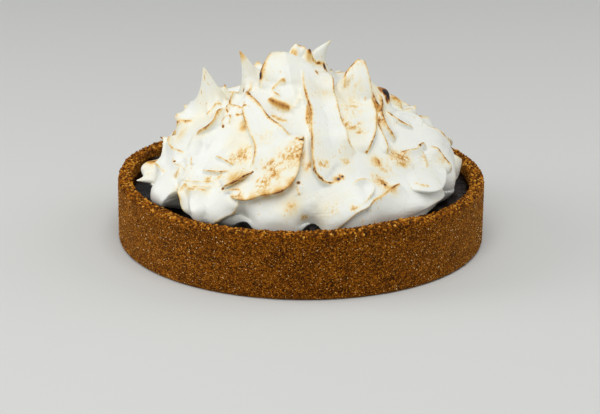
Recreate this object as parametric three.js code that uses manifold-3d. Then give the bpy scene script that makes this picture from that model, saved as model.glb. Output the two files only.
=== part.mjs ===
// A smores pie without its tin: a straight-sided biscuit-crumb crust, a dark chocolate filling that shows as a
// narrow ring, and a tall heap of toasted meringue, spooned on and pulled into peaks.
// Millimetres, +Z up. The origin is the middle of the crust's underside. Azimuths are in degrees: 0 is the front
// (-Y), and they grow towards +X. A latitude runs over the heap, from 0 at its widest to 90 at its top.

import * as THREE from "three";
import Module from "manifold-3d";
import { mergeVertices } from "three/addons/utils/BufferGeometryUtils.js";

const wasm = await Module();
wasm.setup();

// ---------- Driving dimensions ----------

const CRUST_RADIUS = 114.5; // pressed inside a 9 inch springform tin
const CRUST_HEIGHT = 40.5;
const CRUST_WALL = 8.5;
const CRUST_FLOOR = 7;
const RIM_ROUNDING = 2.2;
const FOOT_ROUNDING = 2.5;
const INNER_FILLET = 9;
const RIM_WAVE = 0.9; // how far the crumbly rim wanders up and down
const GAP = 0.3; // clearance between touching pieces

const FILLING_LEVEL = 32.5;
const SWELL_HEIGHT = 7.5; // chocolate pushed up against the crust
const SWELL_RADIUS = 9;

const HEAP_CENTRE_X = 1;
const HEAP_CENTRE_Y = -3;
const HEAP_RADIUS = 98;
const HEAP_WAIST = 41; // height of the heap's widest line
const HEAP_RISE = 72; // from the waist to the smooth top
const HEAP_TUCK = 16; // how far the underside would turn down below the waist

const HEAP_FOOT = -60; // latitude at which the buried underside begins
const HOLLOW_LEVEL = -3.6; // the smooth heap between the crests lies this far in
const CREST_ROUNDING = 0.6;
const SHORTEST_RUN = 9; // the net can carry no steeper slope beside a crest
const LIP_REACH = 10; // how far behind a crest its lean is felt

const ROUND_SEGMENTS = 72;
const CREST_EDGE = 4.2; // net edge along the crests
const PLAIN_EDGE = 9.5; // net edge on the smooth parts

const INNER_RADIUS = CRUST_RADIUS - CRUST_WALL;
const RAD = Math.PI / 180;

// ---------- Small helpers ----------

const clamp = (value, low, high) => Math.min(high, Math.max(low, value));

const azimuthOf = (x, y) => Math.atan2(x, -y) / RAD;

// A repeatable value from 0 to 1 for each whole number, so that hand-made pieces differ a little.
function uneven(n) {
  const s = Math.sin(n * 12.9898 + 4.1) * 43758.5453;
  return s - Math.floor(s);
}

// A lathe turned about +Z, from an outline of [radius, height] pairs.
function turned(outline, segments) {
  const points = outline.map(([r, z]) => new THREE.Vector2(r, z));
  return new THREE.LatheGeometry(points, segments).rotateX(Math.PI / 2);
}

function arc(centreR, centreZ, radius, fromDeg, toDeg, steps) {
  const found = [];
  for (let i = 0; i <= steps; i++) {
    const a = (fromDeg + ((toDeg - fromDeg) * i) / steps) * RAD;
    found.push([centreR + radius * Math.cos(a), centreZ + radius * Math.sin(a)]);
  }
  return found;
}

// Moves every vertex of a geometry by a function of its place.
function reshape(geometry, move) {
  const at = geometry.getAttribute("position");
  const p = new THREE.Vector3();
  for (let i = 0; i < at.count; i++) {
    p.fromBufferAttribute(at, i);
    move(p);
    at.setXYZ(i, p.x, p.y, p.z);
  }
  return geometry;
}

function solidFrom(geometry) {
  const bare = geometry.clone();
  bare.deleteAttribute("normal");
  bare.deleteAttribute("uv");
  const merged = mergeVertices(bare, 1e-3);
  return new wasm.Manifold(
    new wasm.Mesh({
      numProp: 3,
      vertProperties: merged.getAttribute("position").array,
      triVerts: new Uint32Array(merged.index.array),
    }),
  );
}

function geometryFrom(solid) {
  const mesh = solid.getMesh();
  const places = new Float32Array(mesh.vertProperties);
  const geometry = new THREE.BufferGeometry();
  geometry.setAttribute("position", new THREE.BufferAttribute(places, 3));
  geometry.setIndex(new THREE.BufferAttribute(new Uint32Array(mesh.triVerts), 1));
  return geometry;
}

// ---------- Crust: one pressed shell of biscuit crumbs ----------

function rimWave(azimuth) {
  const a = azimuth * RAD;
  const wave = Math.sin(3 * a + 0.6) + 0.7 * Math.sin(7 * a + 2.1) + 0.5 * Math.sin(13 * a);
  return (RIM_WAVE * wave) / 2.2;
}

function crustGeometry() {
  const R = CRUST_RADIUS;
  const H = CRUST_HEIGHT;
  const inner = INNER_RADIUS;
  const outline = [
    [0, 0],
    ...arc(R - FOOT_ROUNDING, FOOT_ROUNDING, FOOT_ROUNDING, -90, 0, 2),
    ...arc(R - RIM_ROUNDING, H - RIM_ROUNDING, RIM_ROUNDING, 0, 90, 2),
    ...arc(inner + RIM_ROUNDING, H - RIM_ROUNDING, RIM_ROUNDING, 90, 180, 2),
    ...arc(inner - INNER_FILLET, CRUST_FLOOR + INNER_FILLET, INNER_FILLET, 0, -90, 3),
    [0, CRUST_FLOOR],
  ];
  return reshape(turned(outline, ROUND_SEGMENTS), (p) => {
    const share = clamp((p.z - H * 0.6) / (H * 0.4), 0, 1);
    p.z += rimWave(azimuthOf(p.x, p.y)) * share;
  });
}

// ---------- Filling: dark chocolate, nearly level, with swells against the crust ----------

// Azimuth, distance from the middle, and share of the swell height.
const SWELLS = [
  [4, 99, 1],
  [-21, 99, 0.9],
  [62, 101, 0.45],
  [-66, 101, 0.35],
  [118, 99, 0.8],
  [163, 100, 0.6],
  [-112, 99, 0.9],
  [-152, 101, 0.5],
];

function fillingHeight(x, y) {
  let height = FILLING_LEVEL + 0.5 * Math.sin(x * 0.11) * Math.cos(y * 0.13);
  for (const [azimuth, distance, share] of SWELLS) {
    const a = azimuth * RAD;
    const away = Math.hypot(x - distance * Math.sin(a), y + distance * Math.cos(a));
    height += SWELL_HEIGHT * share * Math.exp(-((away / SWELL_RADIUS) ** 2));
  }
  return height;
}

function fillingGeometry(grown) {
  const inner = INNER_RADIUS - GAP;
  const fillet = INNER_FILLET - GAP;
  const low = CRUST_FLOOR + GAP;
  const ringRadii = [inner - 3.5, inner - 7, inner - 11, inner - 16, inner - 30, inner - 60];
  const outline = [
    [0, low],
    ...arc(inner - fillet, low + fillet, fillet, -90, 0, 3),
    [inner, FILLING_LEVEL],
    ...ringRadii.map((r) => [r, FILLING_LEVEL]),
    [0, FILLING_LEVEL],
  ];
  return reshape(turned(outline, ROUND_SEGMENTS), (p) => {
    if (p.z > FILLING_LEVEL - 1) p.z = fillingHeight(p.x, p.y) + grown;
  });
}

// ---------- Meringue: the smooth heap ----------

// Distance from the heap's axis, height, and the outward direction, at a latitude.
function heapOutline(latitude) {
  const sine = Math.abs(Math.sin(latitude * RAD));
  const cosine = Math.max(0, Math.cos(latitude * RAD));
  if (latitude < 0) return [HEAP_RADIUS * cosine ** 0.5, HEAP_WAIST - HEAP_TUCK * sine ** 1.3];
  return [HEAP_RADIUS * cosine ** 1.2, HEAP_WAIST + HEAP_RISE * sine ** 1.3];
}

function heapPoint(azimuth, latitude) {
  const [r, z] = heapOutline(latitude);
  const a = azimuth * RAD;
  return new THREE.Vector3(HEAP_CENTRE_X + r * Math.sin(a), HEAP_CENTRE_Y - r * Math.cos(a), z);
}

function heapNormal(azimuth, latitude) {
  const step = 1.5;
  const [r0, z0] = heapOutline(Math.max(-85, latitude - step));
  const [r1, z1] = heapOutline(Math.min(90, latitude + step));
  const out = z1 - z0;
  const up = r0 - r1;
  const a = azimuth * RAD;
  return new THREE.Vector3(out * Math.sin(a), -out * Math.cos(a), up).normalize();
}

// ---------- Meringue: the crests the spoon left ----------

// A smooth line through a few places on the heap, with the heap's outward direction at each of its points.
function lineOver(places) {
  const spline = new THREE.CatmullRomCurve3(places.map(([azimuth, latitude]) => new THREE.Vector3(azimuth, latitude, 0)));
  const over = spline.getPoints((places.length - 1) * 4);
  const path = over.map(({ x, y }) => heapPoint(x, y));
  const parts = path.slice(1).map((to, i) => {
    const along = to.clone().sub(path[i]);
    const left = heapNormal(over[i].x, over[i].y).cross(along).normalize();
    return { from: path[i], along, left, places: [over[i], over[i + 1]] };
  });
  const length = parts.reduce((sum, { along }) => sum + along.length(), 0);
  let run = 0;
  for (const part of parts) {
    part.start = run / length;
    part.share = part.along.length() / length;
    run += part.along.length();
  }
  return parts;
}

// A crest follows its line. It stands its height above the heap, and its slopes run out over so many millimetres
// on its left and its right, seen from outside and walking along the line. It leans over to its left by its lean,
// or to its right where the lean is negative.
function crest(places, height, left, right, lean = 0) {
  return { parts: lineOver(places), height, left, right, lean };
}

// The nearest point of a crest's line: its distance, the side the point lies on, and how far along the line it is.
function nearestOn({ parts }, point) {
  const away = new THREE.Vector3();
  let best = { distance: Infinity };
  for (const { from, along, left, start, share, places } of parts) {
    const t = clamp(away.subVectors(point, from).dot(along) / along.lengthSq(), 0, 1);
    away.addScaledVector(along, -t);
    const distance = away.length();
    if (distance < best.distance) {
      best = { distance, side: away.dot(left), left, along: start + t * share, places, t };
    }
  }
  return best;
}

const CRESTS = [
  // the great leaf in the middle
  crest([[-50, 60], [-33, 50], [-25, 43], [-21, 37], [-21, 30], [-24, 24]], 5, 26, 8, -1.5),
  crest([[-52, 61], [-36, 57], [-27, 53], [-20, 50], [-13, 47], [-4, 44]], 5, 8, 26, 2),
  crest(
    [[2, 47], [1, 42], [-0.5, 35], [-2, 29], [-5, 24.5], [-10, 20.5], [-15.5, 18.5], [-20, 16], [-27, 14]],
    6.5, 5, 30, 4.5,
  ),
  // the tall panel to its right
  crest(
    [[-1, 76], [4, 65], [4, 59], [5, 52], [5, 46], [4, 40], [4, 35], [5, 30.5], [6, 28], [8, 25], [12, 23.5]],
    5.5, 28, 7, -1.5,
  ),
  crest(
    [[45, 79], [32, 71], [27, 64], [24, 59], [23, 54], [22, 50], [21, 45], [20.5, 41], [24, 35]],
    5.5, 7, 28, 2,
  ),
  // the blade right of the panel
  crest([[84, 66], [66, 60], [50, 54], [40, 47.5], [35.5, 43], [32, 38], [30, 33]], 5.5, 7, 24, 1),
  crest([[64, 72], [50, 68], [40, 63], [33, 57]], 5, 24, 7, -1),
  crest([[60, 54], [50, 49], [47, 46], [45, 43], [44, 39], [46, 35]], 5, 12, 8, 0),
  // right shoulder
  crest([[54, 49], [54, 45.5], [55, 43], [58, 40], [63, 36]], 4.5, 18, 7, -1.5),
  crest([[46, 33], [51, 31.5], [56, 32], [61, 35]], 3.5, 6, 14, 1),
  crest([[68, 30], [67, 25], [68, 22], [69, 19], [68, 15]], 4, 7, 20, 1.5),
  crest([[42, 15], [47, 12], [51, 10.5], [56, 11], [60, 13], [63, 16], [65, 22]], 6, 24, 5, -3.5),
  crest([[32, 8], [40, 6], [46, 5], [52, 5], [62, 5]], 4, 20, 5, -2.5),
  crest([[22, 12.5], [28, 15], [32, 17], [35.5, 18.5], [40, 20]], 4, 6, 22, 1),
  crest([[4, -14], [12, -1], [17, 5], [20, 8.5], [23, 11], [29, 13.5]], 6, 30, 5, -3),
  crest([[76, 52], [79, 48], [75, 45.5]], 3.5, 8, 12, 1),
  crest([[66, 47.5], [72, 46], [77, 43], [78, 40], [74, 37]], 4, 8, 14, 1.5),
  crest([[80, 39], [77, 36], [80, 31], [84, 27]], 3.5, 8, 14, 0),
  // the drape along the front
  crest([[-23, 16], [-24, 12], [-24.5, 8], [-26, 4], [-31, -14]], 3.5, 5, 22, 1.2),
  crest([[-49, 16], [-46.5, 11], [-44.5, 7], [-41, 0], [-36, -14]], 4.5, 20, 7, -1),
  crest([[-30.5, 18], [-28.7, 21.5], [-25, 24], [-21, 27]], 5.5, 16, 5, -3),
  // left side
  crest([[-52, 52], [-56, 47.5], [-53, 44], [-52, 42], [-54, 39], [-59, 36]], 4.5, 7, 18, 1.5),
  crest([[-62, 61], [-58, 57], [-56, 54], [-54, 51.5], [-50, 50], [-43, 51.5]], 4, 6, 14, 1),
  crest([[-97, 44], [-89, 41], [-83, 35]], 5, 16, 7, -2),
  crest([[-84, 28], [-72, 32], [-64, 38]], 3.5, 14, 10, 0),
  crest([[-76, 30], [-70, 27], [-65, 26], [-60, 27], [-52, 31]], 4, 7, 14, 1),
  crest([[-82, 30], [-76, 23], [-70, 18]], 4.5, 20, 7, -1),
  crest([[-60, 17], [-69, 18.5], [-76, 13], [-82, 6]], 4, 16, 8, 0),
  // top
  crest([[-38, 63], [-50, 68], [-70, 74], [-120, 79]], 8, 8, 24, 3),
  crest([[-27, 58.5], [-20, 56.5], [-15, 55.5], [-8, 55]], 3.5, 10, 6, -1),
  crest([[90, 87], [60, 83], [50, 79], [38, 75]], 4.5, 8, 14, 1),
  crest([[80, 83], [70, 78], [64, 72]], 4.5, 7, 12, 1),
];

// Round the sides and the back, five uneven tiers of crests fill what the front leaves.
const TIERS = [
  // latitude, crests in the tier, first and last azimuth, height
  [66, 4, 100, 250, 5.5],
  [50, 7, 95, 275, 5.2],
  [35, 8, 93, 272, 5],
  [20, 9, 92, 270, 5],
  [6, 10, 92, 268, 5],
];

TIERS.forEach(([latitude, count, first, last, high], tier) => {
  for (let i = 0; i < count; i++) {
    const any = (n) => uneven(tier * 31 + i * 7 + n);
    const azimuth = first + ((last - first) * (i + 0.25 + 0.5 * any(0))) / count;
    const slant = 34 * (any(1) - 0.5);
    const reach = 7 + 5 * any(2);
    const bow = 9 * (any(5) - 0.5);
    const places = [
      [azimuth - slant * 0.5, Math.min(82, latitude + reach)],
      [azimuth - slant * 0.1 + bow, latitude + reach * 0.25],
      [azimuth + slant * 0.25 + bow * 0.6, latitude - reach * 0.5],
      [azimuth + slant * 0.7, latitude - reach],
    ];
    const broad = 24 + 8 * any(3);
    const steep = 5.5 + 3 * any(4);
    const lean = 1 + 2 * any(8);
    const height = high * (0.7 + 0.5 * any(7));
    if (any(6) > 0.4) CRESTS.push(crest(places, height, broad, steep, -lean));
    else CRESTS.push(crest(places, height, steep, broad, lean));
  }
});

// Height over the heap and sideways shift that all the crests give to a point of the heap.
function crestsAt(point) {
  const shift = new THREE.Vector3();
  let cubes = 0;
  for (const each of CRESTS) {
    const { distance, side, left, along } = nearestOn(each, point);
    const run = Math.max(side >= 0 ? each.left : each.right, SHORTEST_RUN);
    const away = Math.hypot(distance, CREST_ROUNDING) - CREST_ROUNDING;
    const ends = clamp(along / 0.22, 0, 1) * clamp((1 - along) / 0.22, 0, 1);
    const taper = ends * (2 - ends);
    cubes += (each.height * taper * clamp(1 - away / run, 0, 1) ** 3) ** 3;
    const felt = side >= 0 === each.lean >= 0 ? LIP_REACH * 0.6 : LIP_REACH;
    shift.addScaledVector(left, each.lean * taper * clamp(1 - away / felt, 0, 1) ** 2);
  }
  return { height: Math.cbrt(cubes), shift };
}

// ---------- Meringue: the pulled peaks, and the broad swells and hollows ----------

// A peak stands on a place of the heap. It rises by its height and leans by so many millimetres along X and Y
// towards its tip. Its half width lies square to the azimuth it faces, its half thickness along it, and a higher
// power gives it more hollow flanks.
function peak(place, height, lean, width, thickness, power, faces) {
  const a = faces * RAD;
  const through = new THREE.Vector3(-Math.sin(a), Math.cos(a), 0.35).normalize();
  return { place, foot: heapPoint(...place), height, lean, width, thickness, power, through };
}

const PEAKS = [
  peak([-80, 48], 29, [-3, 0], 19, 11, 1.35, -25),
  peak([-82, 62], 27, [-6, 0], 17, 9, 1.35, -15),
  peak([-80, 56], 5, [-1, 0], 7, 6, 1.4, -30),
  peak([-62, 58], 5, [-1, 0], 8, 6, 1.4, -30),
  peak([66, 61], 24, [-2, 1], 20, 10, 0.9, 15),
  peak([104, 83], 17, [12, 0], 12, 7, 1.5, 5),
  peak([28, 85], 10, [3, -1], 7, 5, 1.2, 0),
  peak([-110, 87], 9, [-1, 0], 9, 6, 1, 0),
  peak([-52, 76], 11, [-3, 0], 19, 15, 0.8, -20),
  peak([-10, 84], 7, [0, 0], 20, 14, 0.9, 0),
  peak([78, 55], 6, [3, 0], 9, 7, 1, 30),
  peak([60, 34], 5, [1, -1], 8, 6, 1.5, 60),
  peak([-82, 25], 15, [-6, 0], 10, 8, 1.6, -30),
  peak([-86, 36], 5, [-6, -2], 9, 7, 1.5, -60),
  peak([-74, 3], -2, [-6, -1], 8, 5, 1.2, -60),
  peak([-21.5, 26.5], 2, [2, -1], 5, 5, 1.5, 0),
  peak([130, 56], 6, [3, 3], 18, 9, 1.2, 140),
  peak([165, 62], 9, [-2, 4], 17, 9, 1.2, 150),
  peak([-150, 50], 8, [-4, 3], 18, 9, 1.2, -140),
  peak([-120, 50], 5, [-4, 2], 16, 9, 1.2, -110),
  peak([115, 34], 5, [4, 2], 15, 9, 1.4, 100),
  peak([155, 33], 8, [2, 6], 15, 8, 1.4, 160),
  peak([-165, 27], 8, [-2, 6], 15, 8, 1.4, -170),
  peak([-118, 29], 6, [-5, 3], 15, 8, 1.4, -120),
];

// How fully a point of the heap belongs to a peak: 1 at its tip, 0 outside it.
function peakShare({ foot, width, thickness, power, through }, point) {
  const away = point.clone().sub(foot);
  const deep = away.dot(through);
  const across = Math.sqrt(Math.max(0, away.lengthSq() - deep * deep));
  const distance = Math.hypot(across / width, deep / thickness, 0.055);
  return clamp(1.055 - distance, 0, 1) ** power;
}

// Azimuth, latitude, radius and height of each broad swell, or hollow where the height is negative.
const MOUNDS = [
  [-14, 32, 22, 2.5], [-16, 56, 11, -6], [-70, 56, 9, -4], [-98, 66, 14, -6], [85, 68, 16, -8],
  [28, 52, 10, -3], [36, 67, 9, -5], [12, 45, 12, 2], [-49, 1, 8, -14], [-49, 9, 5, -5], [-34, 7, 15, 3],
  [54, 17, 14, 4], [32, 24, 9, -2], [50, 38, 12, -2], [-40, 34, 12, -2], [-60, 30, 12, -2],
  [-30, 72, 12, 2], [78, 30, 16, 4], [26, -6, 24, 9], [-8, -8, 22, 9], [-62, 8, 9, -1], [-85, 50, 14, -2],
  [-100, 35, 16, -2], [100, 52, 16, -2], [75, 8, 16, 7], [98, 24, 22, 7], [180, 62, 22, -4],
  [-140, 50, 20, -4], [140, 50, 18, -3], [-110, 60, 16, -4], [130, 66, 16, -5], [4, 1, 6, -8],
  [-21, -3, 8, -7],
].map(([azimuth, latitude, radius, height]) => ({ middle: heapPoint(azimuth, latitude), radius, height }));

function moundsAt(point) {
  return MOUNDS.reduce((sum, { middle, radius, height }) => {
    return sum + height * Math.exp(-point.distanceToSquared(middle) / radius ** 2);
  }, 0);
}

// ---------- Meringue: the whole heap ----------

function meringuePoint(azimuth, latitude) {
  const base = heapPoint(azimuth, latitude);
  const { height, shift } = crestsAt(base);
  const fade = clamp((latitude + 30) / 32, 0, 1);
  const out = (HOLLOW_LEVEL + height + moundsAt(base)) * fade;
  const place = base.clone().addScaledVector(heapNormal(azimuth, latitude), out).addScaledVector(shift, fade);
  for (const each of PEAKS) {
    const share = peakShare(each, base);
    place.z += each.height * share;
    place.x += each.lean[0] * share * share;
    place.y += each.lean[1] * share * share;
  }
  return insideTheCrust(place);
}

// Low down, the meringue leans against the crust and goes no further.
function insideTheCrust(place) {
  const limit = INNER_RADIUS - 3 * GAP;
  const reach = Math.hypot(place.x, place.y);
  const free = clamp((place.z - CRUST_HEIGHT - 2) / 6, 0, 1) * 4;
  if (reach > limit + free) {
    place.x *= (limit + free) / reach;
    place.y *= (limit + free) / reach;
  }
  return place;
}

// Latitudes spaced so that the net's triangles have about the same size all over the heap.
const SPACING = (() => {
  const table = [{ latitude: HEAP_FOOT, area: 0 }];
  let [r0, z0] = heapOutline(HEAP_FOOT);
  let area = 0;
  for (let latitude = HEAP_FOOT + 0.5; latitude <= 90; latitude += 0.5) {
    const [r1, z1] = heapOutline(latitude);
    area += (Math.hypot(r1 - r0, z1 - z0) * (r0 + r1)) / 2;
    table.push({ latitude, area });
    [r0, z0] = [r1, z1];
  }
  return table.map((row) => ({ ...row, area: row.area / area }));
})();

function latitudeOfShare(share) {
  const next = Math.max(1, SPACING.findIndex(({ area }) => area >= share));
  const low = SPACING[next - 1];
  const high = SPACING[next];
  return low.latitude + ((high.latitude - low.latitude) * (share - low.area)) / (high.area - low.area);
}

// The net starts as a ball. Its lowest part becomes the flat underside, the rest is laid over the heap.
const BALL_FOOT = -0.72;

function overHeap(onBall) {
  const share = clamp((onBall.z - BALL_FOOT) / (1 - BALL_FOOT), 0, 1);
  return { azimuth: azimuthOf(onBall.x, onBall.y), latitude: latitudeOfShare(share), under: onBall.z < BALL_FOOT };
}

// How far out from the middle of the underside a point of the ball's foot lies.
const undersideShare = ({ z }) => Math.sqrt((1 - z * z) / (1 - BALL_FOOT ** 2));
const UNDERSIDE_MIDDLE = new THREE.Vector3(HEAP_CENTRE_X, HEAP_CENTRE_Y, heapOutline(HEAP_FOOT)[1]);

// Where the net lies over the heap, and the edge length that it should have there.
function surveyed(onBall) {
  const over = overHeap(onBall);
  const base = heapPoint(over.azimuth, over.latitude);
  if (over.under) base.lerp(UNDERSIDE_MIDDLE, 1 - undersideShare(onBall));
  let nearest = { distance: Infinity };
  for (const each of CRESTS) {
    const found = nearestOn(each, base);
    if (found.distance < nearest.distance && found.along > 0.03 && found.along < 0.97) nearest = found;
  }
  let edge = CREST_EDGE + (PLAIN_EDGE - CREST_EDGE) * clamp((nearest.distance - 1.5) / 7, 0, 1);
  if (PEAKS.some((each) => peakShare(each, base) > 0.3)) edge = Math.min(edge, CREST_EDGE);
  if (over.latitude < -20) edge = 2 * PLAIN_EDGE;
  return { ...over, base, nearest, edge };
}

// Splits every edge that is too long, and keeps the net closed.
function refined(points, faces) {
  const middles = new Map();
  const middleOf = (a, b) => {
    const key = a < b ? `${a} ${b}` : `${b} ${a}`;
    if (!middles.has(key)) {
      const [p, q] = [points[a], points[b]];
      const long = p.base.distanceTo(q.base) > 1.35 * Math.min(p.edge, q.edge);
      if (long) points.push({ onBall: p.onBall.clone().add(q.onBall).normalize() });
      middles.set(key, long ? points.length - 1 : -1);
    }
    return middles.get(key);
  };
  const next = faces.flatMap(([a, b, c]) => {
    const [ab, bc, ca] = [middleOf(a, b), middleOf(b, c), middleOf(c, a)];
    const cuts = [ab, bc, ca].filter((m) => m >= 0).length;
    if (cuts === 0) return [[a, b, c]];
    if (cuts === 3) return [[a, ab, ca], [ab, b, bc], [ca, bc, c], [ab, bc, ca]];
    if (cuts === 1) {
      if (ab >= 0) return [[a, ab, c], [ab, b, c]];
      if (bc >= 0) return [[b, bc, a], [bc, c, a]];
      return [[c, ca, b], [ca, a, b]];
    }
    if (ab < 0) return [[bc, c, ca], [a, bc, ca], [a, b, bc]];
    if (bc < 0) return [[ca, a, ab], [b, ca, ab], [b, c, ca]];
    return [[ab, b, bc], [c, ab, bc], [c, a, ab]];
  });
  for (const point of points) if (!point.base) Object.assign(point, surveyed(point.onBall));
  return next;
}

// Slides the points of the net that lie close to a crest onto its line, and one point onto the foot of each peak.
function slideOntoCrests(points) {
  for (const point of points) {
    const { distance, places, t } = point.nearest;
    if (distance < 0.42 * point.edge && !point.under) {
      point.azimuth = places[0].x + (places[1].x - places[0].x) * t;
      point.latitude = places[0].y + (places[1].y - places[0].y) * t;
    }
  }
  for (const { foot, place } of PEAKS) {
    const away = (point) => point.base.distanceTo(foot);
    const closest = points.reduce((best, point) => (away(point) < away(best) ? point : best));
    [closest.azimuth, closest.latitude] = place;
  }
}

function meringueGeometry() {
  const ball = mergeVertices(new THREE.IcosahedronGeometry(1, 5).deleteAttribute("normal").deleteAttribute("uv"), 1e-3);
  const at = ball.getAttribute("position");
  const points = [];
  for (let i = 0; i < at.count; i++) {
    const onBall = new THREE.Vector3().fromBufferAttribute(at, i).normalize();
    points.push({ onBall, ...surveyed(onBall) });
  }
  const corners = Array.from(ball.index.array);
  const first = corners.filter((_, i) => i % 3 === 0).map((_, i) => corners.slice(3 * i, 3 * i + 3));
  let faces = first;
  for (let round = 0; round < 3; round++) faces = refined(points, faces);
  slideOntoCrests(points);
  const places = points.flatMap(({ onBall, azimuth, latitude, under }) => {
    const place = meringuePoint(azimuth, latitude);
    if (!under) return place.toArray();
    const share = undersideShare(onBall);
    return [place.x * share, place.y * share, FILLING_LEVEL - 8];
  });
  const geometry = new THREE.BufferGeometry();
  geometry.setAttribute("position", new THREE.Float32BufferAttribute(places, 3));
  geometry.setIndex(faces.flat());
  return geometry;
}

// ---------- The pie ----------

function piece(name, geometry, colour, roughness) {
  const material = new THREE.MeshStandardMaterial({ color: colour, roughness, metalness: 0 });
  const mesh = new THREE.Mesh(geometry, material);
  mesh.name = name;
  return mesh;
}

const filling = fillingGeometry(0);
const cutter = solidFrom(fillingGeometry(GAP));
const meringue = solidFrom(meringueGeometry()).subtract(cutter);

const pie = new THREE.Group();
pie.add(piece("crust", crustGeometry(), "#8a5a20", 0.9));
pie.add(piece("filling", filling, "#1d1613", 0.3));
pie.add(piece("meringue", geometryFrom(meringue), "#f3efe2", 0.6));

export default pie;
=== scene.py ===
"""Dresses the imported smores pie: a pressed crust of biscuit crumbs, dark chocolate, and toasted meringue.

Shapes are worked out in millimetres and made into meshes in metres. The camera, the lights and the frame
are in metres. An azimuth is in degrees from the front (-Y) towards +X. A latitude runs over the heap of
meringue, from 0 at its widest line to 90 at its top.
"""

import math

import bpy
import numpy as np
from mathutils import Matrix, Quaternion, Vector, noise


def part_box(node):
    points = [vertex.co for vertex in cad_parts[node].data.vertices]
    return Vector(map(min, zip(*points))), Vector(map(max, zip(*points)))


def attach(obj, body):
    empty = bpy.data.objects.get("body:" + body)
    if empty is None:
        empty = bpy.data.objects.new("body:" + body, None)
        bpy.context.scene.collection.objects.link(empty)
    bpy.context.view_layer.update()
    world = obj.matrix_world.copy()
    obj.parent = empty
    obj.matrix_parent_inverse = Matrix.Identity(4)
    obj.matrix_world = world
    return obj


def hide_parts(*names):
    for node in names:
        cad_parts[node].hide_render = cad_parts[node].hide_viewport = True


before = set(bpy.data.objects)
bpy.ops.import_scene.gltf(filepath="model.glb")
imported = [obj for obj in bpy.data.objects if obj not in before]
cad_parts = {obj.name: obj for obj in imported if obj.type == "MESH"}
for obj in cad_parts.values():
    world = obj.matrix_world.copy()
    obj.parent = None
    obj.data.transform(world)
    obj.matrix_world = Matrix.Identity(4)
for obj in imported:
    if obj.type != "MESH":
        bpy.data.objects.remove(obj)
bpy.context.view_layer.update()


# ---------- Camera: a long lens, a little above the rim of the crust ----------

CAMERA_AIM = Vector((-0.0005, 0.0, 0.018))
CAMERA_DISTANCE = 1.337
CAMERA_ELEVATION = math.radians(19.27)
CAMERA_ROLL = math.radians(0.61)
CAMERA_LENS = 126.9


def stood(name, data, place, aim, roll=0.0):
    """Stands a camera or a light at a place, looking at its aim."""
    thing = bpy.data.objects.new(name, data)
    bpy.context.scene.collection.objects.link(thing)
    thing.location = place
    thing.rotation_mode = "QUATERNION"
    towards = (Vector(aim) - Vector(place)).to_track_quat("-Z", "Y")
    thing.rotation_quaternion = towards @ Quaternion((0, 0, 1), roll)
    return thing


camera_data = bpy.data.cameras.new("camera")
camera_data.lens = CAMERA_LENS
camera_data.sensor_width = 36
back = Vector((0, -math.cos(CAMERA_ELEVATION), math.sin(CAMERA_ELEVATION)))
bpy.context.scene.camera = stood(
    "camera", camera_data, CAMERA_AIM + back * CAMERA_DISTANCE, CAMERA_AIM, CAMERA_ROLL
)


# ---------- Crust ----------
# The real piece is a straight-sided shell of crushed digestive or graham biscuits, bound with butter and
# sugar. It is pressed by hand against the side of a round tin and baked, so its wall is flat and finely
# pitted, and its rim is left crumbly and uneven.

MM = 0.001
CRUST_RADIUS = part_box("crust")[1].x / MM
CRUST_HEIGHT = 40.5
CRUST_WALL = 8.5
CRUST_INSIDE = CRUST_RADIUS - CRUST_WALL
RIM_ROUNDING = 2.2
FOOT_ROUNDING = 2.5
RIM_WAVE = 0.9
RIM_BANK = 2.6  # more crumb was pressed up at the right of the front
BANK_AZIMUTH = math.radians(27)
BANK_SPREAD = math.radians(13)
CRUST_STEP = 1.0  # side of a facet on the faces that show
HIDDEN_FLOOR = 20  # the floor is only built up to where the chocolate hides it
INSIDE_SHOWN = 28  # from here up the inside of the wall shows beside the chocolate
CRUMB_BED = 0.2  # the shell starts so far out, and its pits and lumps are worked in from there


def corner(centre_r, centre_z, radius, start, end, steps):
    """Points of a rounded corner of a turned outline, between two directions in degrees."""
    turns = np.radians(np.linspace(start, end, steps + 1))
    return [(centre_r + radius * math.cos(t), centre_z + radius * math.sin(t)) for t in turns]


def evenly(outline, step):
    """The same outline, with points no further apart than a step."""
    points = [outline[0]]
    for start, end in zip(outline, outline[1:]):
        count = max(1, math.ceil(math.dist(start, end) / step))
        for i in range(1, count + 1):
            points.append(tuple(a + (b - a) * i / count for a, b in zip(start, end)))
    return points


def turned(outline, segments):
    """Vertices and faces of an outline turned about Z. It starts and ends on the axis, which closes it."""
    outline = np.array(outline)
    angles = np.radians(np.arange(segments) * 360 / segments)
    rings = outline[1:-1]
    ring = np.stack(
        [
            np.outer(rings[:, 0], np.sin(angles)),
            -np.outer(rings[:, 0], np.cos(angles)),
            np.repeat(rings[:, 1:], segments, axis=1),
        ],
        axis=-1,
    ).reshape(-1, 3)
    ends = np.array([[0, 0, outline[0][1]], [0, 0, outline[-1][1]]])
    points = np.vstack([ring, ends])
    first, last = len(ring), len(ring) + 1
    faces = []
    for j in range(segments):
        k = (j + 1) % segments
        faces.append((first, k, j))
        for low in range(0, (len(rings) - 1) * segments, segments):
            high = low + segments
            faces.append((low + j, low + k, high + k, high + j))
        top = (len(rings) - 1) * segments
        faces.append((top + j, top + k, last))
    return points, faces


def piece(name, points, faces, material, **attributes):
    """A smooth mesh object from points in millimetres, with named values at its vertices."""
    mesh = bpy.data.meshes.new(name)
    mesh.from_pydata(np.asarray(points) * MM, [], [list(map(int, face)) for face in faces])
    mesh.polygons.foreach_set("use_smooth", [True] * len(mesh.polygons))
    for label, values in attributes.items():
        values = np.asarray(values, np.float32)
        mesh.attributes.new(label, "FLOAT", "POINT").data.foreach_set("value", values)
    mesh.materials.append(material)
    mesh.update()
    thing = bpy.data.objects.new(name, mesh)
    bpy.context.scene.collection.objects.link(thing)
    return thing


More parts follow.
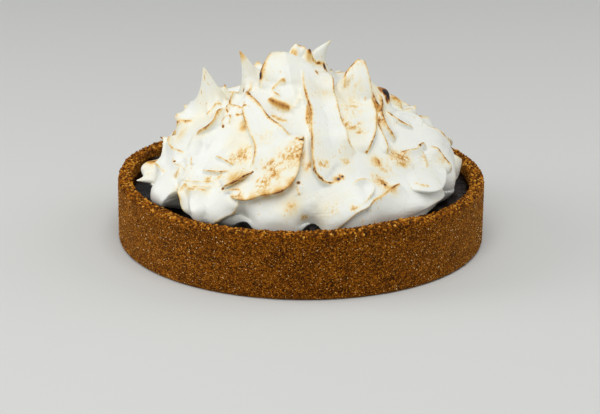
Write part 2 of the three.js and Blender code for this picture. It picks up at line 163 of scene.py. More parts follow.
def linear(code):
    """A colour written as sRGB hex, as the linear RGBA that a shader takes."""
    parts = [int(code[i : i + 2], 16) / 255 for i in (1, 3, 5)]
    return (*(c / 12.92 if c <= 0.04045 else ((c + 0.055) / 1.055) ** 2.4 for c in parts), 1.0)


def feed(tree, node, inputs):
    """Sets a node's inputs. Each is a value, an output, or a node whose first output in use is meant."""
    for name, value in inputs.items():
        if isinstance(value, bpy.types.Node):
            value = next(output for output in value.outputs if output.enabled)
        if isinstance(value, bpy.types.NodeSocket):
            tree.links.new(value, node.inputs[name])
        else:
            node.inputs[name].default_value = value


def add_node(tree, kind, inputs=None, **settings):
    """Adds a node to a tree, with its settings and its inputs."""
    node = tree.nodes.new(kind)
    for name, value in settings.items():
        setattr(node, name, value)
    feed(tree, node, inputs or {})
    return node


def new_material(name):
    """An empty material, its node tree and its Principled shader."""
    material = bpy.data.materials.new(name)
    material.use_nodes = True
    return material, material.node_tree, material.node_tree.nodes["Principled BSDF"]


def object_place(tree):
    """Object coordinates, in metres."""
    return add_node(tree, "ShaderNodeTexCoord").outputs["Object"]


def own_value(tree, name):
    """A value that the mesh itself holds."""
    return add_node(tree, "ShaderNodeAttribute", attribute_name=name).outputs["Fac"]


def colours(ramp, stops):
    """Fills a colour ramp from pairs of a position and a hex colour."""
    elements = ramp.color_ramp.elements
    while len(elements) < len(stops):
        elements.new(0.5)
    for element, (position, code) in zip(elements, stops):
        element.position = position
        element.color = linear(code)


def per_mm(size):
    """The scale of a pattern whose features are so many millimetres across, on coordinates in metres."""
    return 1 / (size * MM)


CRUMB_COLOURS = [
    (0.0, "#220C00"), (0.35, "#603002"), (0.7, "#9C5A08"), (0.92, "#C88826"), (1.0, "#E0A848"),
]
CRUMB_SHEEN = {"Sheen Weight": 0.5, "Sheen Tint": linear("#C08A40")}


def pressed_crumb():
    """Baked biscuit crumb: dull, finely speckled brown, a little darker in its pits."""
    material, tree, shader = new_material("baked biscuit crumb")
    place = object_place(tree)
    grains = add_node(tree, "ShaderNodeTexVoronoi", {"Vector": place, "Scale": per_mm(0.7)})
    grain = add_node(tree, "ShaderNodeSeparateColor", {"Color": grains.outputs["Color"]})
    cloud = add_node(tree, "ShaderNodeTexNoise", {"Vector": place, "Scale": per_mm(9), "Detail": 3})
    mixed = add_node(tree, "ShaderNodeMath", {0: cloud, 1: 0.5, 2: -0.3}, operation="MULTIPLY_ADD")
    tone = add_node(tree, "ShaderNodeMath", {0: grain, 1: 0.8, 2: mixed}, operation="MULTIPLY_ADD")
    ramp = add_node(tree, "ShaderNodeValToRGB", {"Fac": tone})
    colours(ramp, CRUMB_COLOURS)
    fine = add_node(tree, "ShaderNodeTexNoise", {"Vector": place, "Scale": per_mm(0.8), "Detail": 2})
    bump = add_node(tree, "ShaderNodeBump", {"Strength": 0.8, "Distance": 0.4 * MM, "Height": fine})
    feed(tree, shader, {"Base Color": ramp, "Normal": bump, "Roughness": 0.85, "Specular IOR Level": 0.08})
    feed(tree, shader, CRUMB_SHEEN)
    return material


def grain_material(name, stops, look):
    """The material of loose grains: each grain has a tone of its own on the ramp of colours."""
    material, tree, shader = new_material(name)
    ramp = add_node(tree, "ShaderNodeValToRGB", {"Fac": own_value(tree, "tone")})
    colours(ramp, stops)
    feed(tree, shader, {"Base Color": ramp, **look})
    return material


def new_nodes(name, inputs):
    """An empty Geometry Nodes tree with a geometry output, and its inputs: geometry and the named ones."""
    tree = bpy.data.node_groups.new(name, "GeometryNodeTree")
    tree.interface.new_socket("Geometry", in_out="INPUT", socket_type="NodeSocketGeometry")
    tree.interface.new_socket("Geometry", in_out="OUTPUT", socket_type="NodeSocketGeometry")
    for label, kind in inputs.items():
        tree.interface.new_socket(label, in_out="INPUT", socket_type="NodeSocket" + kind)
    return tree, add_node(tree, "NodeGroupInput").outputs


def finish_nodes(tree, geometry, material):
    """Ends a tree: instances become real, and every face gets the material."""
    real = add_node(tree, "GeometryNodeRealizeInstances", {"Geometry": geometry})
    faced = add_node(tree, "GeometryNodeSetMaterial", {"Geometry": real, "Material": material})
    add_node(tree, "NodeGroupOutput", {"Geometry": faced})


def worked(thing, tree, name, **values):
    """Runs a tree on an object with its inputs set, and gives the result as a plain mesh object."""
    modifier = thing.modifiers.new(tree.name, "NODES")
    modifier.node_group = tree
    for item in tree.interface.items_tree:
        label = item.name.replace(" ", "_").lower()
        if item.in_out == "INPUT" and label in values:
            modifier[item.identifier] = values.pop(label)
    shaped = thing.evaluated_get(bpy.context.evaluated_depsgraph_get())
    mesh = bpy.data.meshes.new_from_object(shaped)
    mesh.name = name
    thing.modifiers.remove(modifier)
    result = bpy.data.objects.new(name, mesh)
    bpy.context.scene.collection.objects.link(result)
    return result


def rim_wave(azimuth):
    """How far the crumbly rim stands above or below its level."""
    wave = np.sin(3 * azimuth + 0.6) + 0.7 * np.sin(7 * azimuth + 2.1) + 0.5 * np.sin(13 * azimuth)
    bank = RIM_BANK * np.exp(-(((azimuth - BANK_AZIMUTH) / BANK_SPREAD) ** 2))
    return RIM_WAVE * wave / 2.2 + bank


def crust_shell(material):
    """The smooth shell, with the share of the rim's roughness that each place takes."""
    outside = CRUST_RADIUS + CRUMB_BED
    rim_top = CRUST_HEIGHT - CRUMB_BED
    shown = [
        *corner(outside - FOOT_ROUNDING, FOOT_ROUNDING, FOOT_ROUNDING, -90, 0, 4),
        *corner(outside - RIM_ROUNDING, rim_top - RIM_ROUNDING, RIM_ROUNDING, 0, 90, 3),
        *corner(CRUST_INSIDE + RIM_ROUNDING, rim_top - RIM_ROUNDING, RIM_ROUNDING, 90, 180, 3),
        (CRUST_INSIDE, INSIDE_SHOWN),
    ]
    hidden = [(CRUST_INSIDE, HIDDEN_FLOOR), (0, HIDDEN_FLOOR)]
    outline = [(0, 0), (60, 0), *evenly(shown, CRUST_STEP), *hidden]
    points, faces = turned(outline, round(2 * math.pi * CRUST_RADIUS / CRUST_STEP))
    azimuth = np.arctan2(points[:, 0], -points[:, 1])
    # the waves of the rim fade out down the wall, and the loose crumb begins a little under the rim
    high = np.clip((points[:, 2] - CRUST_HEIGHT * 0.6) / (CRUST_HEIGHT * 0.4), 0, 1)
    points[:, 2] += rim_wave(azimuth) * high
    from_axis = np.hypot(points[:, 0], points[:, 1])
    near_rim = np.clip((points[:, 2] - CRUST_HEIGHT + 3.5) / 2.5, 0, 1)
    inside = (from_axis < CRUST_INSIDE + 1) & (points[:, 2] > HIDDEN_FLOOR + 6)
    outer = (from_axis > outside - 2) & (points[:, 2] > 0.3)
    on_rim = np.maximum(near_rim, 0.55 * inside)
    on_wall = outer * (1 - near_rim)
    return piece(
        "crust_shell", points, faces, material,
        crumbling=np.maximum(on_rim, 0.2 * outer), on_rim=on_rim, on_wall=on_wall,
        sugared=np.maximum(on_wall, 0.8 * on_rim),
    )


def crumbling_tree(material):
    """Pits and lumps in the pressed wall, deeper where the rim crumbles."""
    inputs = dict.fromkeys(("Lump size", "Pit depth", "Lump height"), "Float")
    tree, given = new_nodes("pressed crumbs", inputs)
    share = add_node(tree, "GeometryNodeInputNamedAttribute", {"Name": "crumbling"}, data_type="FLOAT")
    scale = add_node(tree, "ShaderNodeMath", {0: 1.0, 1: given["Lump size"]}, operation="DIVIDE")
    pits = add_node(tree, "ShaderNodeTexVoronoi", {"Scale": scale}, feature="SMOOTH_F1")
    lumps = add_node(tree, "ShaderNodeTexNoise", {"Scale": scale, "Detail": 3.0, "Roughness": 0.7})
    pit = add_node(tree, "ShaderNodeMath", {0: pits, 1: given["Pit depth"]}, operation="MULTIPLY")
    centred = add_node(tree, "ShaderNodeMath", {0: lumps, 1: 0.5}, operation="SUBTRACT")
    lump = add_node(tree, "ShaderNodeMath", {0: centred, 1: given["Lump height"]}, operation="MULTIPLY")
    both = add_node(tree, "ShaderNodeMath", {0: lump, 1: pit}, operation="SUBTRACT")
    shared = add_node(tree, "ShaderNodeMath", {0: both, 1: share}, operation="MULTIPLY")
    normal = add_node(tree, "GeometryNodeInputNormal")
    offset = add_node(tree, "ShaderNodeVectorMath", {0: normal, "Scale": shared}, operation="SCALE")
    moved = add_node(tree, "GeometryNodeSetPosition", {"Geometry": given["Geometry"], "Offset": offset})
    finish_nodes(tree, moved, material)
    return tree


def scatter_tree(name, grain_kind, grain_settings, material, attribute):
    """Grains strewn over a surface as its named value allows, each with its own turn, size and tone."""
    floats = dict.fromkeys(("Spacing", "Density", "Size", "Darkest"), "Float")
    tree, given = new_nodes(name, {**floats, "Seed": "Int"})
    share = add_node(tree, "GeometryNodeInputNamedAttribute", {"Name": attribute}, data_type="FLOAT")
    strewn = add_node(
        tree,
        "GeometryNodeDistributePointsOnFaces",
        {
            "Mesh": given["Geometry"],
            "Distance Min": given["Spacing"],
            "Density Max": given["Density"],
            "Density Factor": share,
            "Seed": given["Seed"],
        },
        distribute_method="POISSON",
    )
    grain = add_node(tree, grain_kind, grain_settings)
    full_turn = (math.tau, math.tau, math.tau)
    turn, shape = (
        add_node(
            tree,
            "FunctionNodeRandomValue",
            {"Min": low, "Max": high, "Seed": given["Seed"]},
            data_type="FLOAT_VECTOR",
        )
        for low, high in (((0, 0, 0), full_turn), ((0.35, 0.35, 0.3), (1.1, 1.1, 1)))
    )
    thinned = add_node(tree, "ShaderNodeMath", {0: share, 1: given["Size"]}, operation="MULTIPLY")
    size = add_node(tree, "ShaderNodeVectorMath", {0: shape, "Scale": thinned}, operation="SCALE")
    laid = add_node(
        tree,
        "GeometryNodeInstanceOnPoints",
        {"Points": strewn, "Instance": grain, "Rotation": turn, "Scale": size},
    )
    tones = {2: given["Darkest"], 3: 1.0, "Seed": 7}
    tone = add_node(tree, "FunctionNodeRandomValue", tones, data_type="FLOAT")
    toned = add_node(
        tree,
        "GeometryNodeStoreNamedAttribute",
        {"Geometry": laid, "Name": "tone", "Value": tone},
        data_type="FLOAT",
        domain="INSTANCE",
    )
    finish_nodes(tree, toned, material)
    return tree


crumb = pressed_crumb()
shell = crust_shell(crumb)
crust = worked(
    shell, crumbling_tree(crumb), "crust_wall",
    lump_size=2.4 * MM, pit_depth=0.8 * MM, lump_height=3.4 * MM,
)
bpy.data.objects.remove(shell)
# The same baked crumb as the wall, broken off as grains.
loose = grain_material(
    "loose baked crumb", CRUMB_COLOURS, {"Roughness": 0.8, "Specular IOR Level": 0.1, **CRUMB_SHEEN}
)
# Demerara sugar that did not melt: pale, clear-looking crystals. Their palest tone, a bright face here and
# there, is a painted glint.
sugar = grain_material(
    "demerara sugar",
    [(0.0, "#8E5410"), (0.7, "#DCA04C"), (1.0, "#FFE6B4")],
    {"Roughness": 0.4, "Specular IOR Level": 0.05},
)
PACKED = 2 / MM**2  # so many places are tried that only the spacing counts
fine_grain = ("GeometryNodeMeshUVSphere", {"Segments": 4, "Rings": 2, "Radius": 0.5})
coarse_grain = ("GeometryNodeMeshUVSphere", {"Segments": 5, "Rings": 3, "Radius": 0.5})
cubic_grain = ("GeometryNodeMeshCube", {"Size": (0.8, 0.8, 0.8)})
wall_crumbs = worked(
    crust, scatter_tree("wall crumbs", *fine_grain, loose, "on_wall"), "wall_crumbs",
    spacing=0.72 * MM, density=PACKED, size=0.9 * MM, darkest=0.0, seed=3,
)
rim_crumbs = worked(
    crust, scatter_tree("rim crumbs", *coarse_grain, loose, "on_rim"), "rim_crumbs",
    spacing=0.95 * MM, density=PACKED, size=2.3 * MM, darkest=0.03, seed=5,
)
crystals = worked(
    crust, scatter_tree("sugar crystals", *cubic_grain, sugar, "sugared"), "sugar_crystals",
    spacing=0.8 * MM, density=0.15 / MM**2, size=0.75 * MM, darkest=0.0, seed=9,
)
for thing in (crust, wall_crumbs, rim_crumbs, crystals):
    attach(thing, "root")
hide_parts("crust")


# ---------- Filling ----------
# The real piece is a soft dark chocolate cream or ganache, poured into the baked crust and left to set. It
# shows as a narrow, nearly black and glossy ring, with swells where the spoon pushed it aside.

FILLING_LEVEL = 32.5
FILLING_RADIUS = CRUST_INSIDE + 0.6  # it reaches into the roughness of the crust
FILLING_UNDERSIDE = 20.3  # hidden, just above the crust's floor
SWELL_HEIGHT = 9
SWELL_RADIUS = 10
# azimuth, distance from the middle, and share of the swell height
SWELLS = [
    (4, 98, 1), (-20, 97, 0.85), (62, 101, 0.3), (-66, 101, 0.25),
    (118, 99, 0.6), (163, 100, 0.45), (-112, 99, 0.65), (-152, 101, 0.4),
]


def filling_height(x, y):
    """Height of the chocolate's surface: nearly level, lightly stirred, with a few swells."""
    height = FILLING_LEVEL + 0.5 * np.sin(x * 0.11) * np.cos(y * 0.13)
    for azimuth, distance, share in SWELLS:
        turn = math.radians(azimuth)
        away = np.hypot(x - distance * math.sin(turn), y + distance * math.cos(turn))
        height = height + SWELL_HEIGHT * share * np.exp(-((away / SWELL_RADIUS) ** 2))
    return height


def dark_chocolate():
    """Set dark chocolate cream: nearly black brown, with a soft gloss and faint marks of the spoon."""
    material, tree, shader = new_material("dark chocolate cream")
    swirl = {"Vector": object_place(tree), "Scale": per_mm(7), "Detail": 3, "Distortion": 1.5}
    stirred = add_node(tree, "ShaderNodeTexNoise", swirl)
    ramp = add_node(tree, "ShaderNodeValToRGB", {"Fac": stirred})
    colours(ramp, [(0.35, "#050303"), (0.7, "#0E0806")])
    bump = add_node(tree, "ShaderNodeBump", {"Strength": 0.6, "Distance": 1.0 * MM, "Height": stirred})
    feed(tree, shader, {"Base Color": ramp, "Normal": bump, "Roughness": 0.17, "Specular IOR Level": 0.11})
    return material


edge = [(FILLING_RADIUS, FILLING_UNDERSIDE), (FILLING_RADIUS, FILLING_LEVEL), (70, FILLING_LEVEL)]
outline = [(0, FILLING_UNDERSIDE), *evenly(edge, 1.5), (0, FILLING_LEVEL)]
points, faces = turned(outline, segments=420)
level = points[:, 2] > FILLING_LEVEL - 0.5
points[level, 2] = filling_height(points[level, 0], points[level, 1])
filling = piece("filling_top", points, faces, dark_chocolate())
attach(filling, "root")
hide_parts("filling")


# ---------- Meringue ----------
# The real piece is a tall heap of whipped egg white and sugar, spooned on the chocolate in big strokes.
# Each stroke leaves a smooth slope that ends in a sharp crest, and the spoon pulls up points as it leaves.
# A torch then browns what stands out most: the crests, the tips and the lips of the folds.

HEAP_CENTRE = (1, -3)
HEAP_RADIUS = 98
HEAP_WAIST = 41  # height of the heap's widest line
HEAP_RISE = 72  # from the waist to the smooth top
HEAP_TUCK = 16  # how far the underside would turn down below the waist
HEAP_FOOT = -60  # latitude at which the buried underside begins
HEAP_BURIED = 8  # how far the flat underside lies below the chocolate's surface
HOLLOW_LEVEL = -3.6  # the smooth heap between the crests lies this far in
RIPPLE = 0.35  # height of the small unevenness of the slopes
CREST_ROUNDING = 0.45
CREST_TAPER = 0.22  # share of a crest's length over which each of its ends sinks
LIP_REACH = (3.2, 8.0)  # how far a crest's lean is felt, on the side it leans to and behind
BROWN_REACH = 3.5  # browning has ended at so many times its half width
FINE_EDGE = 0.6  # side of the net's triangles along the crests


def heap_outline(latitude):
    """Distance from the heap's axis, and height, at a latitude."""
    latitude = np.asarray(latitude, float)
    sine = np.abs(np.sin(np.radians(latitude)))
    cosine = np.maximum(0, np.cos(np.radians(latitude)))
    above = latitude >= 0
    radius = HEAP_RADIUS * np.where(above, cosine**1.2, cosine**0.5)
    height = HEAP_WAIST + np.where(above, HEAP_RISE, -HEAP_TUCK) * sine**1.3
    return radius, height


def heap_point(azimuth, latitude):
    """A point of the smooth heap."""
    radius, height = heap_outline(latitude)
    turn = np.radians(azimuth)
    x = HEAP_CENTRE[0] + radius * np.sin(turn)
    y = HEAP_CENTRE[1] - radius * np.cos(turn)
    return np.stack(np.broadcast_arrays(x, y, height), -1)


def heap_normal(azimuth, latitude):
    """The outward direction of the smooth heap."""
    latitude = np.asarray(latitude, float)
    low_radius, low_height = heap_outline(np.maximum(-85, latitude - 1.5))
    high_radius, high_height = heap_outline(np.minimum(90, latitude + 1.5))
    out = high_height - low_height
    turn = np.radians(azimuth)
    normal = np.stack([out * np.sin(turn), -out * np.cos(turn), low_radius - high_radius], -1)
    return normal / np.linalg.norm(normal, axis=-1, keepdims=True)


def smooth_line(places, steps=4):
    """A Catmull-Rom line through places on the heap: its points, and the outward direction at each."""
    known = np.array(places, float)
    known = np.vstack([2 * known[0] - known[1], known, 2 * known[-1] - known[-2]])
    found = []
    for a, b, c, d in zip(known, known[1:], known[2:], known[3:]):
        for t in np.arange(steps) / steps:
            bend = (2 * a - 5 * b + 4 * c - d) * t**2
            twist = (3 * b - a - 3 * c + d) * t**3
            found.append((2 * b + (c - a) * t + bend + twist) / 2)
    found = np.array(found + [known[-2]])
    return heap_point(*found.T), heap_normal(*found.T)


def uneven(n):
    """A repeatable value from 0 to 1 for each whole number."""
    wave = math.sin(n * 12.9898 + 4.1) * 43758.5453
    return wave - math.floor(wave)


# Places along a crest's line as azimuth and latitude, its height, how far its slopes run out on its left
# and on its right, its lean to the left, how brown its edge is, and half the width of the browning. On one
# fold the brown edge is painted shadow. Left and right are seen from outside, walking along the line.
CRESTS = [
    # the great leaf in the middle
    ([(-64, 62.5), (-55, 60), (-46, 57), (-41.5, 53.5), (-37, 50.5), (-27, 44), (-21, 38), (-20.5, 32),
      (-22.5, 28)], 5, 26, 4.8, -1.5, 0.7, 1.1),
    ([(-64, 63.5), (-54, 60.3), (-45, 58.2), (-36, 56.3), (-27, 53), (-20, 50), (-13, 47), (-6, 44.5)],
     5, 4.8, 26, 2, 1.15, 1.5),
    ([(-0.5, 46), (-2.5, 41.5), (-4, 35), (-4.6, 29.5), (-6, 25.3), (-8, 22.6), (-10.5, 21.3),
      (-15.5, 20), (-20, 17.8), (-28, 16.4)], 6.5, 3, 30, 4.5, 0.55, 1.1),
    ([(-4.6, 44.3), (-3, 43), (-1.7, 43.4), (-0.2, 44.8)], 2.5, 4, 5, 0, 1.1, 1.7),
    # the tall panel to its right
    ([(-1, 76), (1.5, 71), (3, 66), (4.2, 62.5), (5.5, 59), (6.5, 55), (6, 50.5), (5.6, 46), (5.2, 40),
      (5.2, 35), (5.8, 31), (7, 28), (8.5, 25.5), (12, 24.5)], 5.5, 28, 4.2, -1.5, 0.85, 1.1),
    ([(4, 61), (2.5, 57), (2, 53), (3, 49), (5, 45)], 2.2, 5, 5, 0, 0.65, 1.1),
    ([(5.3, 30.5), (6.3, 28.6), (7.4, 27), (9, 25.6), (11.3, 25.2), (13, 25.4)], 0.4, 3, 3, 0, 1.15, 1.2),
    ([(78, 80), (62, 77.5), (48, 74), (37, 69.3), (29, 64.8), (24.5, 59.5), (23, 54), (22, 50),
      (21.5, 45), (21.7, 41.5), (23, 39.5), (25.5, 37)], 5.5, 4.2, 28, 2, 0.75, 0.9),
    # the blade right of the panel
    ([(84, 64), (70, 61), (57, 56.5), (49, 50.5), (43, 46.5), (38, 42.7), (34, 39.7), (30.5, 36)],
     5.5, 4.2, 24, 1, 0.85, 1.1),
    ([(65.5, 60.5), (61, 62), (57, 63.3), (52, 64.2), (48, 64), (45, 63)], 3, 20, 4.2, -1, 0.9, 1),
    ([(70, 53.5), (66, 53), (59, 51.5), (53, 50), (49, 47)], 3.5, 6, 6, 0, 0.8, 1.4),
    ([(62, 57), (56.5, 52), (53, 47.8), (51, 44.5), (51.5, 41.5), (53, 38.5)], 4.5, 12, 4.8, 0, 1, 1.2),
    ([(48, 50.5), (46.4, 46.5), (46, 43.5), (45.2, 40.5), (43.7, 37.7), (42, 34.5)],
     3.5, 8, 8, 0, 0.85, 0.8),
    # right shoulder
    ([(64.5, 50.7), (65, 47.5), (66, 44.3), (68, 41.5), (71, 39)], 2.4, 18, 4.2, -1, 0.95, 0.9),
    ([(50, 33.3), (54.5, 32), (59.5, 31), (62, 31.5), (64.2, 31.7), (66, 30.8), (65.8, 29.3)],
     2.8, 3.6, 14, 1, 0.8, 0.8),
    ([(69, 29.5), (70, 26), (70.5, 22.5), (71, 19), (71, 14.5)], 3, 4.2, 20, 1, 1.1, 1.2),
    ([(77.5, 36), (79, 33), (80.3, 30), (82, 26.5), (84, 21)], 3.2, 5, 10, 0, 0.95, 1.1),
    ([(62.7, 29.5), (60.7, 26.8), (58.5, 24.5), (56, 22.5)], 1.6, 8, 8, 0, 0.6, 1.1),
    ([(43, 16.5), (46.5, 15.5), (50.5, 14), (54.5, 13.8), (59, 15), (63, 18), (66, 23)],
     6, 24, 3, -3.5, 0, 1),
    ([(45.3, 19), (47.3, 17.5), (50, 16)], 1.6, 6, 6, 0, 0.5, 0.8),
    ([(36, 3), (43, 5), (50, 6.5), (57, 7.2), (66, 8)], 4, 20, 3, -2.5, 0, 1),
    ([(18.7, 22.2), (21, 24), (24, 24.2), (26, 22.5), (26, 20), (24, 17.6), (21, 15.6), (18, 13.8),
      (15, 11.8)], 3.2, 3.6, 14, 1, 0.4, 0.8),
    ([(22, 12.5), (28, 15), (32, 17), (35.5, 18.5), (40, 20)], 4, 3.6, 22, 1, 0.85, 1.2),
    # its dark brown edge is painted shadow: the shade in the gap under this overhanging fold of the drape
    ([(2, -14), (9, -1), (12.5, 5), (15.5, 9), (18.5, 11.8), (25, 14.8)], 6, 30, 3, -3, 0.8, 0.6),
    ([(66, 47.5), (72, 46), (77, 43), (78, 40), (74, 37)], 4, 4.8, 14, 1.5, 0.1, 0.9),
    ([(131, 41), (124, 41), (118, 41), (113, 40.5), (110.5, 39)], 1.5, 5, 8, 0, 1, 1.3),
    ([(110, 39.5), (104, 41), (99.5, 40.5), (98, 37), (97.5, 33)], 2.5, 4.8, 12, 1, 0.5, 1),
    ([(80, 39), (77, 36), (80, 31), (84, 27)], 3.5, 4.8, 14, 0, 0.35, 1),
    ([(50, 24), (47, 28), (42, 32)], 2, 12, 12, 0, 0.2, 1),
    # the drape along the front
    ([(3, 19), (4.5, 15), (5, 8)], 1.6, 12, 12, 0, 0, 1),
    ([(-2.3, 23.5), (-1.8, 21), (-1.2, 19.5)], 1, 5, 5, 0, 0.5, 0.8),
    ([(-23.5, 15), (-24.5, 11), (-26, 7), (-29, 2.5), (-34, -14)], 3.5, 3, 22, 1.2, 0.4, 0.9),
    ([(-51.5, 16), (-49, 15), (-47, 14), (-44.5, 13.8), (-41.5, 14.6), (-38, 16.2)],
     3.2, 9, 20, 1, 0.5, 1.1),
    ([(-54, 11.7), (-50.8, 10.9), (-49, 9), (-48, 6), (-47, 1), (-46, -8), (-45, -20)],
     4, 16, 3.6, -1, 0.75, 1.4),
    ([(-40, 18), (-43, 10), (-41, 4), (-38, -2), (-36, -10)], 3, 14, 7, 0, 0, 1),
    ([(-54.5, 10), (-56, 6), (-57, 1), (-58, -8), (-59, -20)], 4, 3.6, 14, 1, 0, 1),
    ([(-45.5, 25.3), (-42, 25.8), (-38.5, 26.3), (-35, 27), (-31, 28)], 2.5, 14, 4.8, -1, 0.8, 0.7),
    ([(-43.5, 32.9), (-40, 32.6), (-37, 32.2), (-33.5, 31.3), (-30.5, 30.4)],
     2.5, 12, 4.8, -0.5, 0.8, 0.8),
    ([(-31.5, 19.3), (-30, 21.8), (-26.5, 24.4), (-22, 27.3)], 5.5, 16, 3, -3, 0.95, 0.8),
    ([(-31, 17.5), (-26, 19.8), (-23.3, 20), (-23.3, 18.5), (-28, 16)], 2.2, 5, 6, 0, 0.75, 0.7),
    # left side
    ([(-63, 52), (-62, 49.5), (-59.5, 47), (-57.2, 44.8), (-57.7, 42.3), (-60.5, 40), (-64, 37)],
     4.5, 4.2, 18, 1.5, 1, 1.2),
    ([(-69, 51.5), (-70.5, 49.5), (-70.8, 47.3), (-71.5, 45)], 1.6, 4.8, 14, 0, 0.6, 0.8),
    ([(-66.5, 59.3), (-65.3, 57.4), (-65.2, 56), (-66, 55), (-65.5, 54.1), (-62, 53.3), (-56, 52.7),
      (-50, 53), (-43, 54)], 3.5, 3.6, 14, 1, 1.1, 1.2),
    ([(-70, 55.5), (-67, 54), (-63, 52.3), (-58.5, 51), (-54.5, 50.2)], 2, 6, 10, 0, 0.9, 1),
    ([(-41, 55), (-41.5, 53.5), (-43, 51.6), (-46, 50.6), (-48.5, 51)], 1.5, 6, 6, 0, 0.9, 1.2),
    ([(-50.3, 44.8), (-53, 47.3), (-52.5, 49), (-50, 49.3), (-48, 48), (-47.3, 46.3)],
     2.2, 4, 5, 0, 0.8, 0.7),
    ([(-97, 44), (-89, 41), (-83, 35)], 5, 16, 4.2, -2, 0.35, 1.5),
    ([(-88, 30.5), (-86, 32.8), (-84, 34.8), (-81, 37.5), (-77, 40)], 3, 12, 9, 0, 0.7, 1.6),
    ([(-84.5, 30), (-81, 28), (-76.5, 26.8), (-73, 26.4), (-69, 26.3), (-66, 27.5), (-64, 28.5)],
     4, 4.2, 14, 1, 0.8, 1),
    ([(-86, 29), (-81, 24), (-77, 18), (-76, 12)], 4.5, 14, 4.2, -1, 0.3, 1),
    ([(-66, 16), (-74, 16), (-80, 15.5), (-87, 11)], 3, 12, 6, 0, 0.5, 1.1),
    ([(-62, 27), (-56, 26), (-53, 20), (-55, 14)], 2, 7, 9, 0, 0.15, 1),
    ([(-56.7, 29), (-54.2, 27), (-52.5, 25.3)], 1.8, 9, 9, 0, 0.7, 0.8),
    ([(-66, 33), (-58, 36), (-50, 36)], 2, 14, 14, 0, 0, 1),
    ([(-36, 21.5), (-41, 20), (-47, 18.5), (-52, 17)], 1.4, 4, 8, 0, 0.45, 0.7),
    ([(-36, 19), (-41, 17), (-46, 15.8)], 1.2, 4, 8, 0, 0.4, 0.7),
    ([(-62, 24), (-57, 22.5), (-52, 22)], 1.2, 8, 5, 0, 0.3, 0.7),
    ([(-68, 24), (-64, 22), (-60, 22.5), (-58, 20), (-58.5, 16)], 1.4, 4, 7, 0, 0.45, 0.7),
    ([(-39, 33), (-36, 38), (-35, 44)], 1.8, 16, 16, 0, 0, 1),
    # top
    ([(-46, 64.5), (-50, 68), (-58, 73), (-90, 79)], 7, 4.8, 24, 2.5, 0.7, 1.4),
    ([(-22, 69.8), (-26, 69.5), (-31, 68.6), (-34, 67), (-34.3, 65.7), (-32, 64.7), (-27, 64.2),
      (-23, 64.4)], 2.6, 5, 8, 0, 0.65, 1.1),
    ([(-34, 62.2), (-28, 61.3), (-21.5, 61), (-17, 60.7), (-11.5, 60.4)], 3, 10, 6, -1, 0.15, 1.6),
    ([(-26, 56), (-18.5, 55), (-11.5, 54.8)], 1.8, 9, 9, 0, 0.5, 1.6),
    ([(-4, 64), (-6, 61), (-11, 59)], 3, 9, 7, 0, 0.25, 1),
    ([(44, 84.6), (54, 83.6), (64, 82.6), (76, 81), (84, 79.3), (86, 77), (84, 74)],
     1.2, 4.8, 14, 0.3, 1, 0.8),
    ([(96, 79), (108, 76.5), (120, 73.5), (130, 70.5), (138, 67)], 5, 4.2, 12, 1, 1.1, 1),
    ([(-85, 80.5), (-80, 84), (-63, 87.5), (34, 87.5)], 0.8, 3, 3, 0, 1, 0.6),
    ([(-60, 80), (-25, 73), (-12, 67), (-9, 62)], 2.2, 12, 14, 0, 0, 1),
]

# Round the sides and the back, uneven tiers of crests: latitude, number, first and last azimuth, height.
TIERS = [
    (66, 4, 122, 250, 5),
    (50, 7, 95, 270, 5.2),
    (35, 8, 93, 264, 5),
    (20, 9, 92, 261, 5),
    (6, 10, 92, 260, 5),
]

for tier, (latitude, count, first, last, high) in enumerate(TIERS):
    for i in range(count):
        seed = tier * 31 + i * 7
        azimuth = first + (last - first) * (i + 0.25 + 0.5 * uneven(seed)) / count
        slant = 34 * (uneven(seed + 1) - 0.5)
        reach = 7 + 5 * uneven(seed + 2)
        bow = 9 * (uneven(seed + 5) - 0.5)
        places = [
            (azimuth - slant * 0.5, min(82, latitude + reach)),
            (azimuth - slant * 0.1 + bow, latitude + reach * 0.25),
            (azimuth + slant * 0.25 + bow * 0.6, latitude - reach * 0.5),
            (azimuth + slant * 0.7, latitude - reach),
        ]
        broad = 24 + 8 * uneven(seed + 3)
        steep = 3.3 + 2 * uneven(seed + 4)
        height = high * (0.7 + 0.5 * uneven(seed + 7))
        lean = 1 + 2 * uneven(seed + 8)
        brown = 0.95 * uneven(seed + 9)
        width = 0.8 + uneven(seed + 10)
        if uneven(seed + 6) > 0.4:
            CRESTS.append((places, height, broad, steep, -lean, brown, width))
        else:
            CRESTS.append((places, height, steep, broad, lean, brown, width))

LINES = [smooth_line(row[0]) for row in CRESTS]


def close_to(line, points, margin):
    """Which of the points may lie within a margin of a line."""
    path = line[0]
    middle = path.mean(0)
    around = np.linalg.norm(path - middle, axis=1).max() + margin
    return np.nonzero(((points - middle) ** 2).sum(1) < around**2)[0]


def nearest_on(line, points):
    """For each point: distance from the line, share of the way along, the left direction, and the side."""
    path, normals = line
    lengths = np.linalg.norm(np.diff(path, axis=0), axis=1)
    starts = np.concatenate([[0], np.cumsum(lengths)])
    best = np.full(len(points), np.inf)
    along = np.zeros(len(points))
    left = np.zeros((len(points), 3))
    side = np.zeros(len(points))
    for i, length in enumerate(lengths):
        step = path[i + 1] - path[i]
        from_start = points - path[i]
        t = np.clip(from_start @ step / length**2, 0, 1)
        off = from_start - t[:, None] * step
        squared = (off * off).sum(1)
        better = squared < best
        towards_left = np.cross(normals[i], step / length)
        towards_left /= np.linalg.norm(towards_left)
        best[better] = squared[better]
        along[better] = ((starts[i] + t * length) / starts[-1])[better]
        left[better] = towards_left
        side[better] = (off @ towards_left)[better]
    return np.sqrt(best), along, left, side


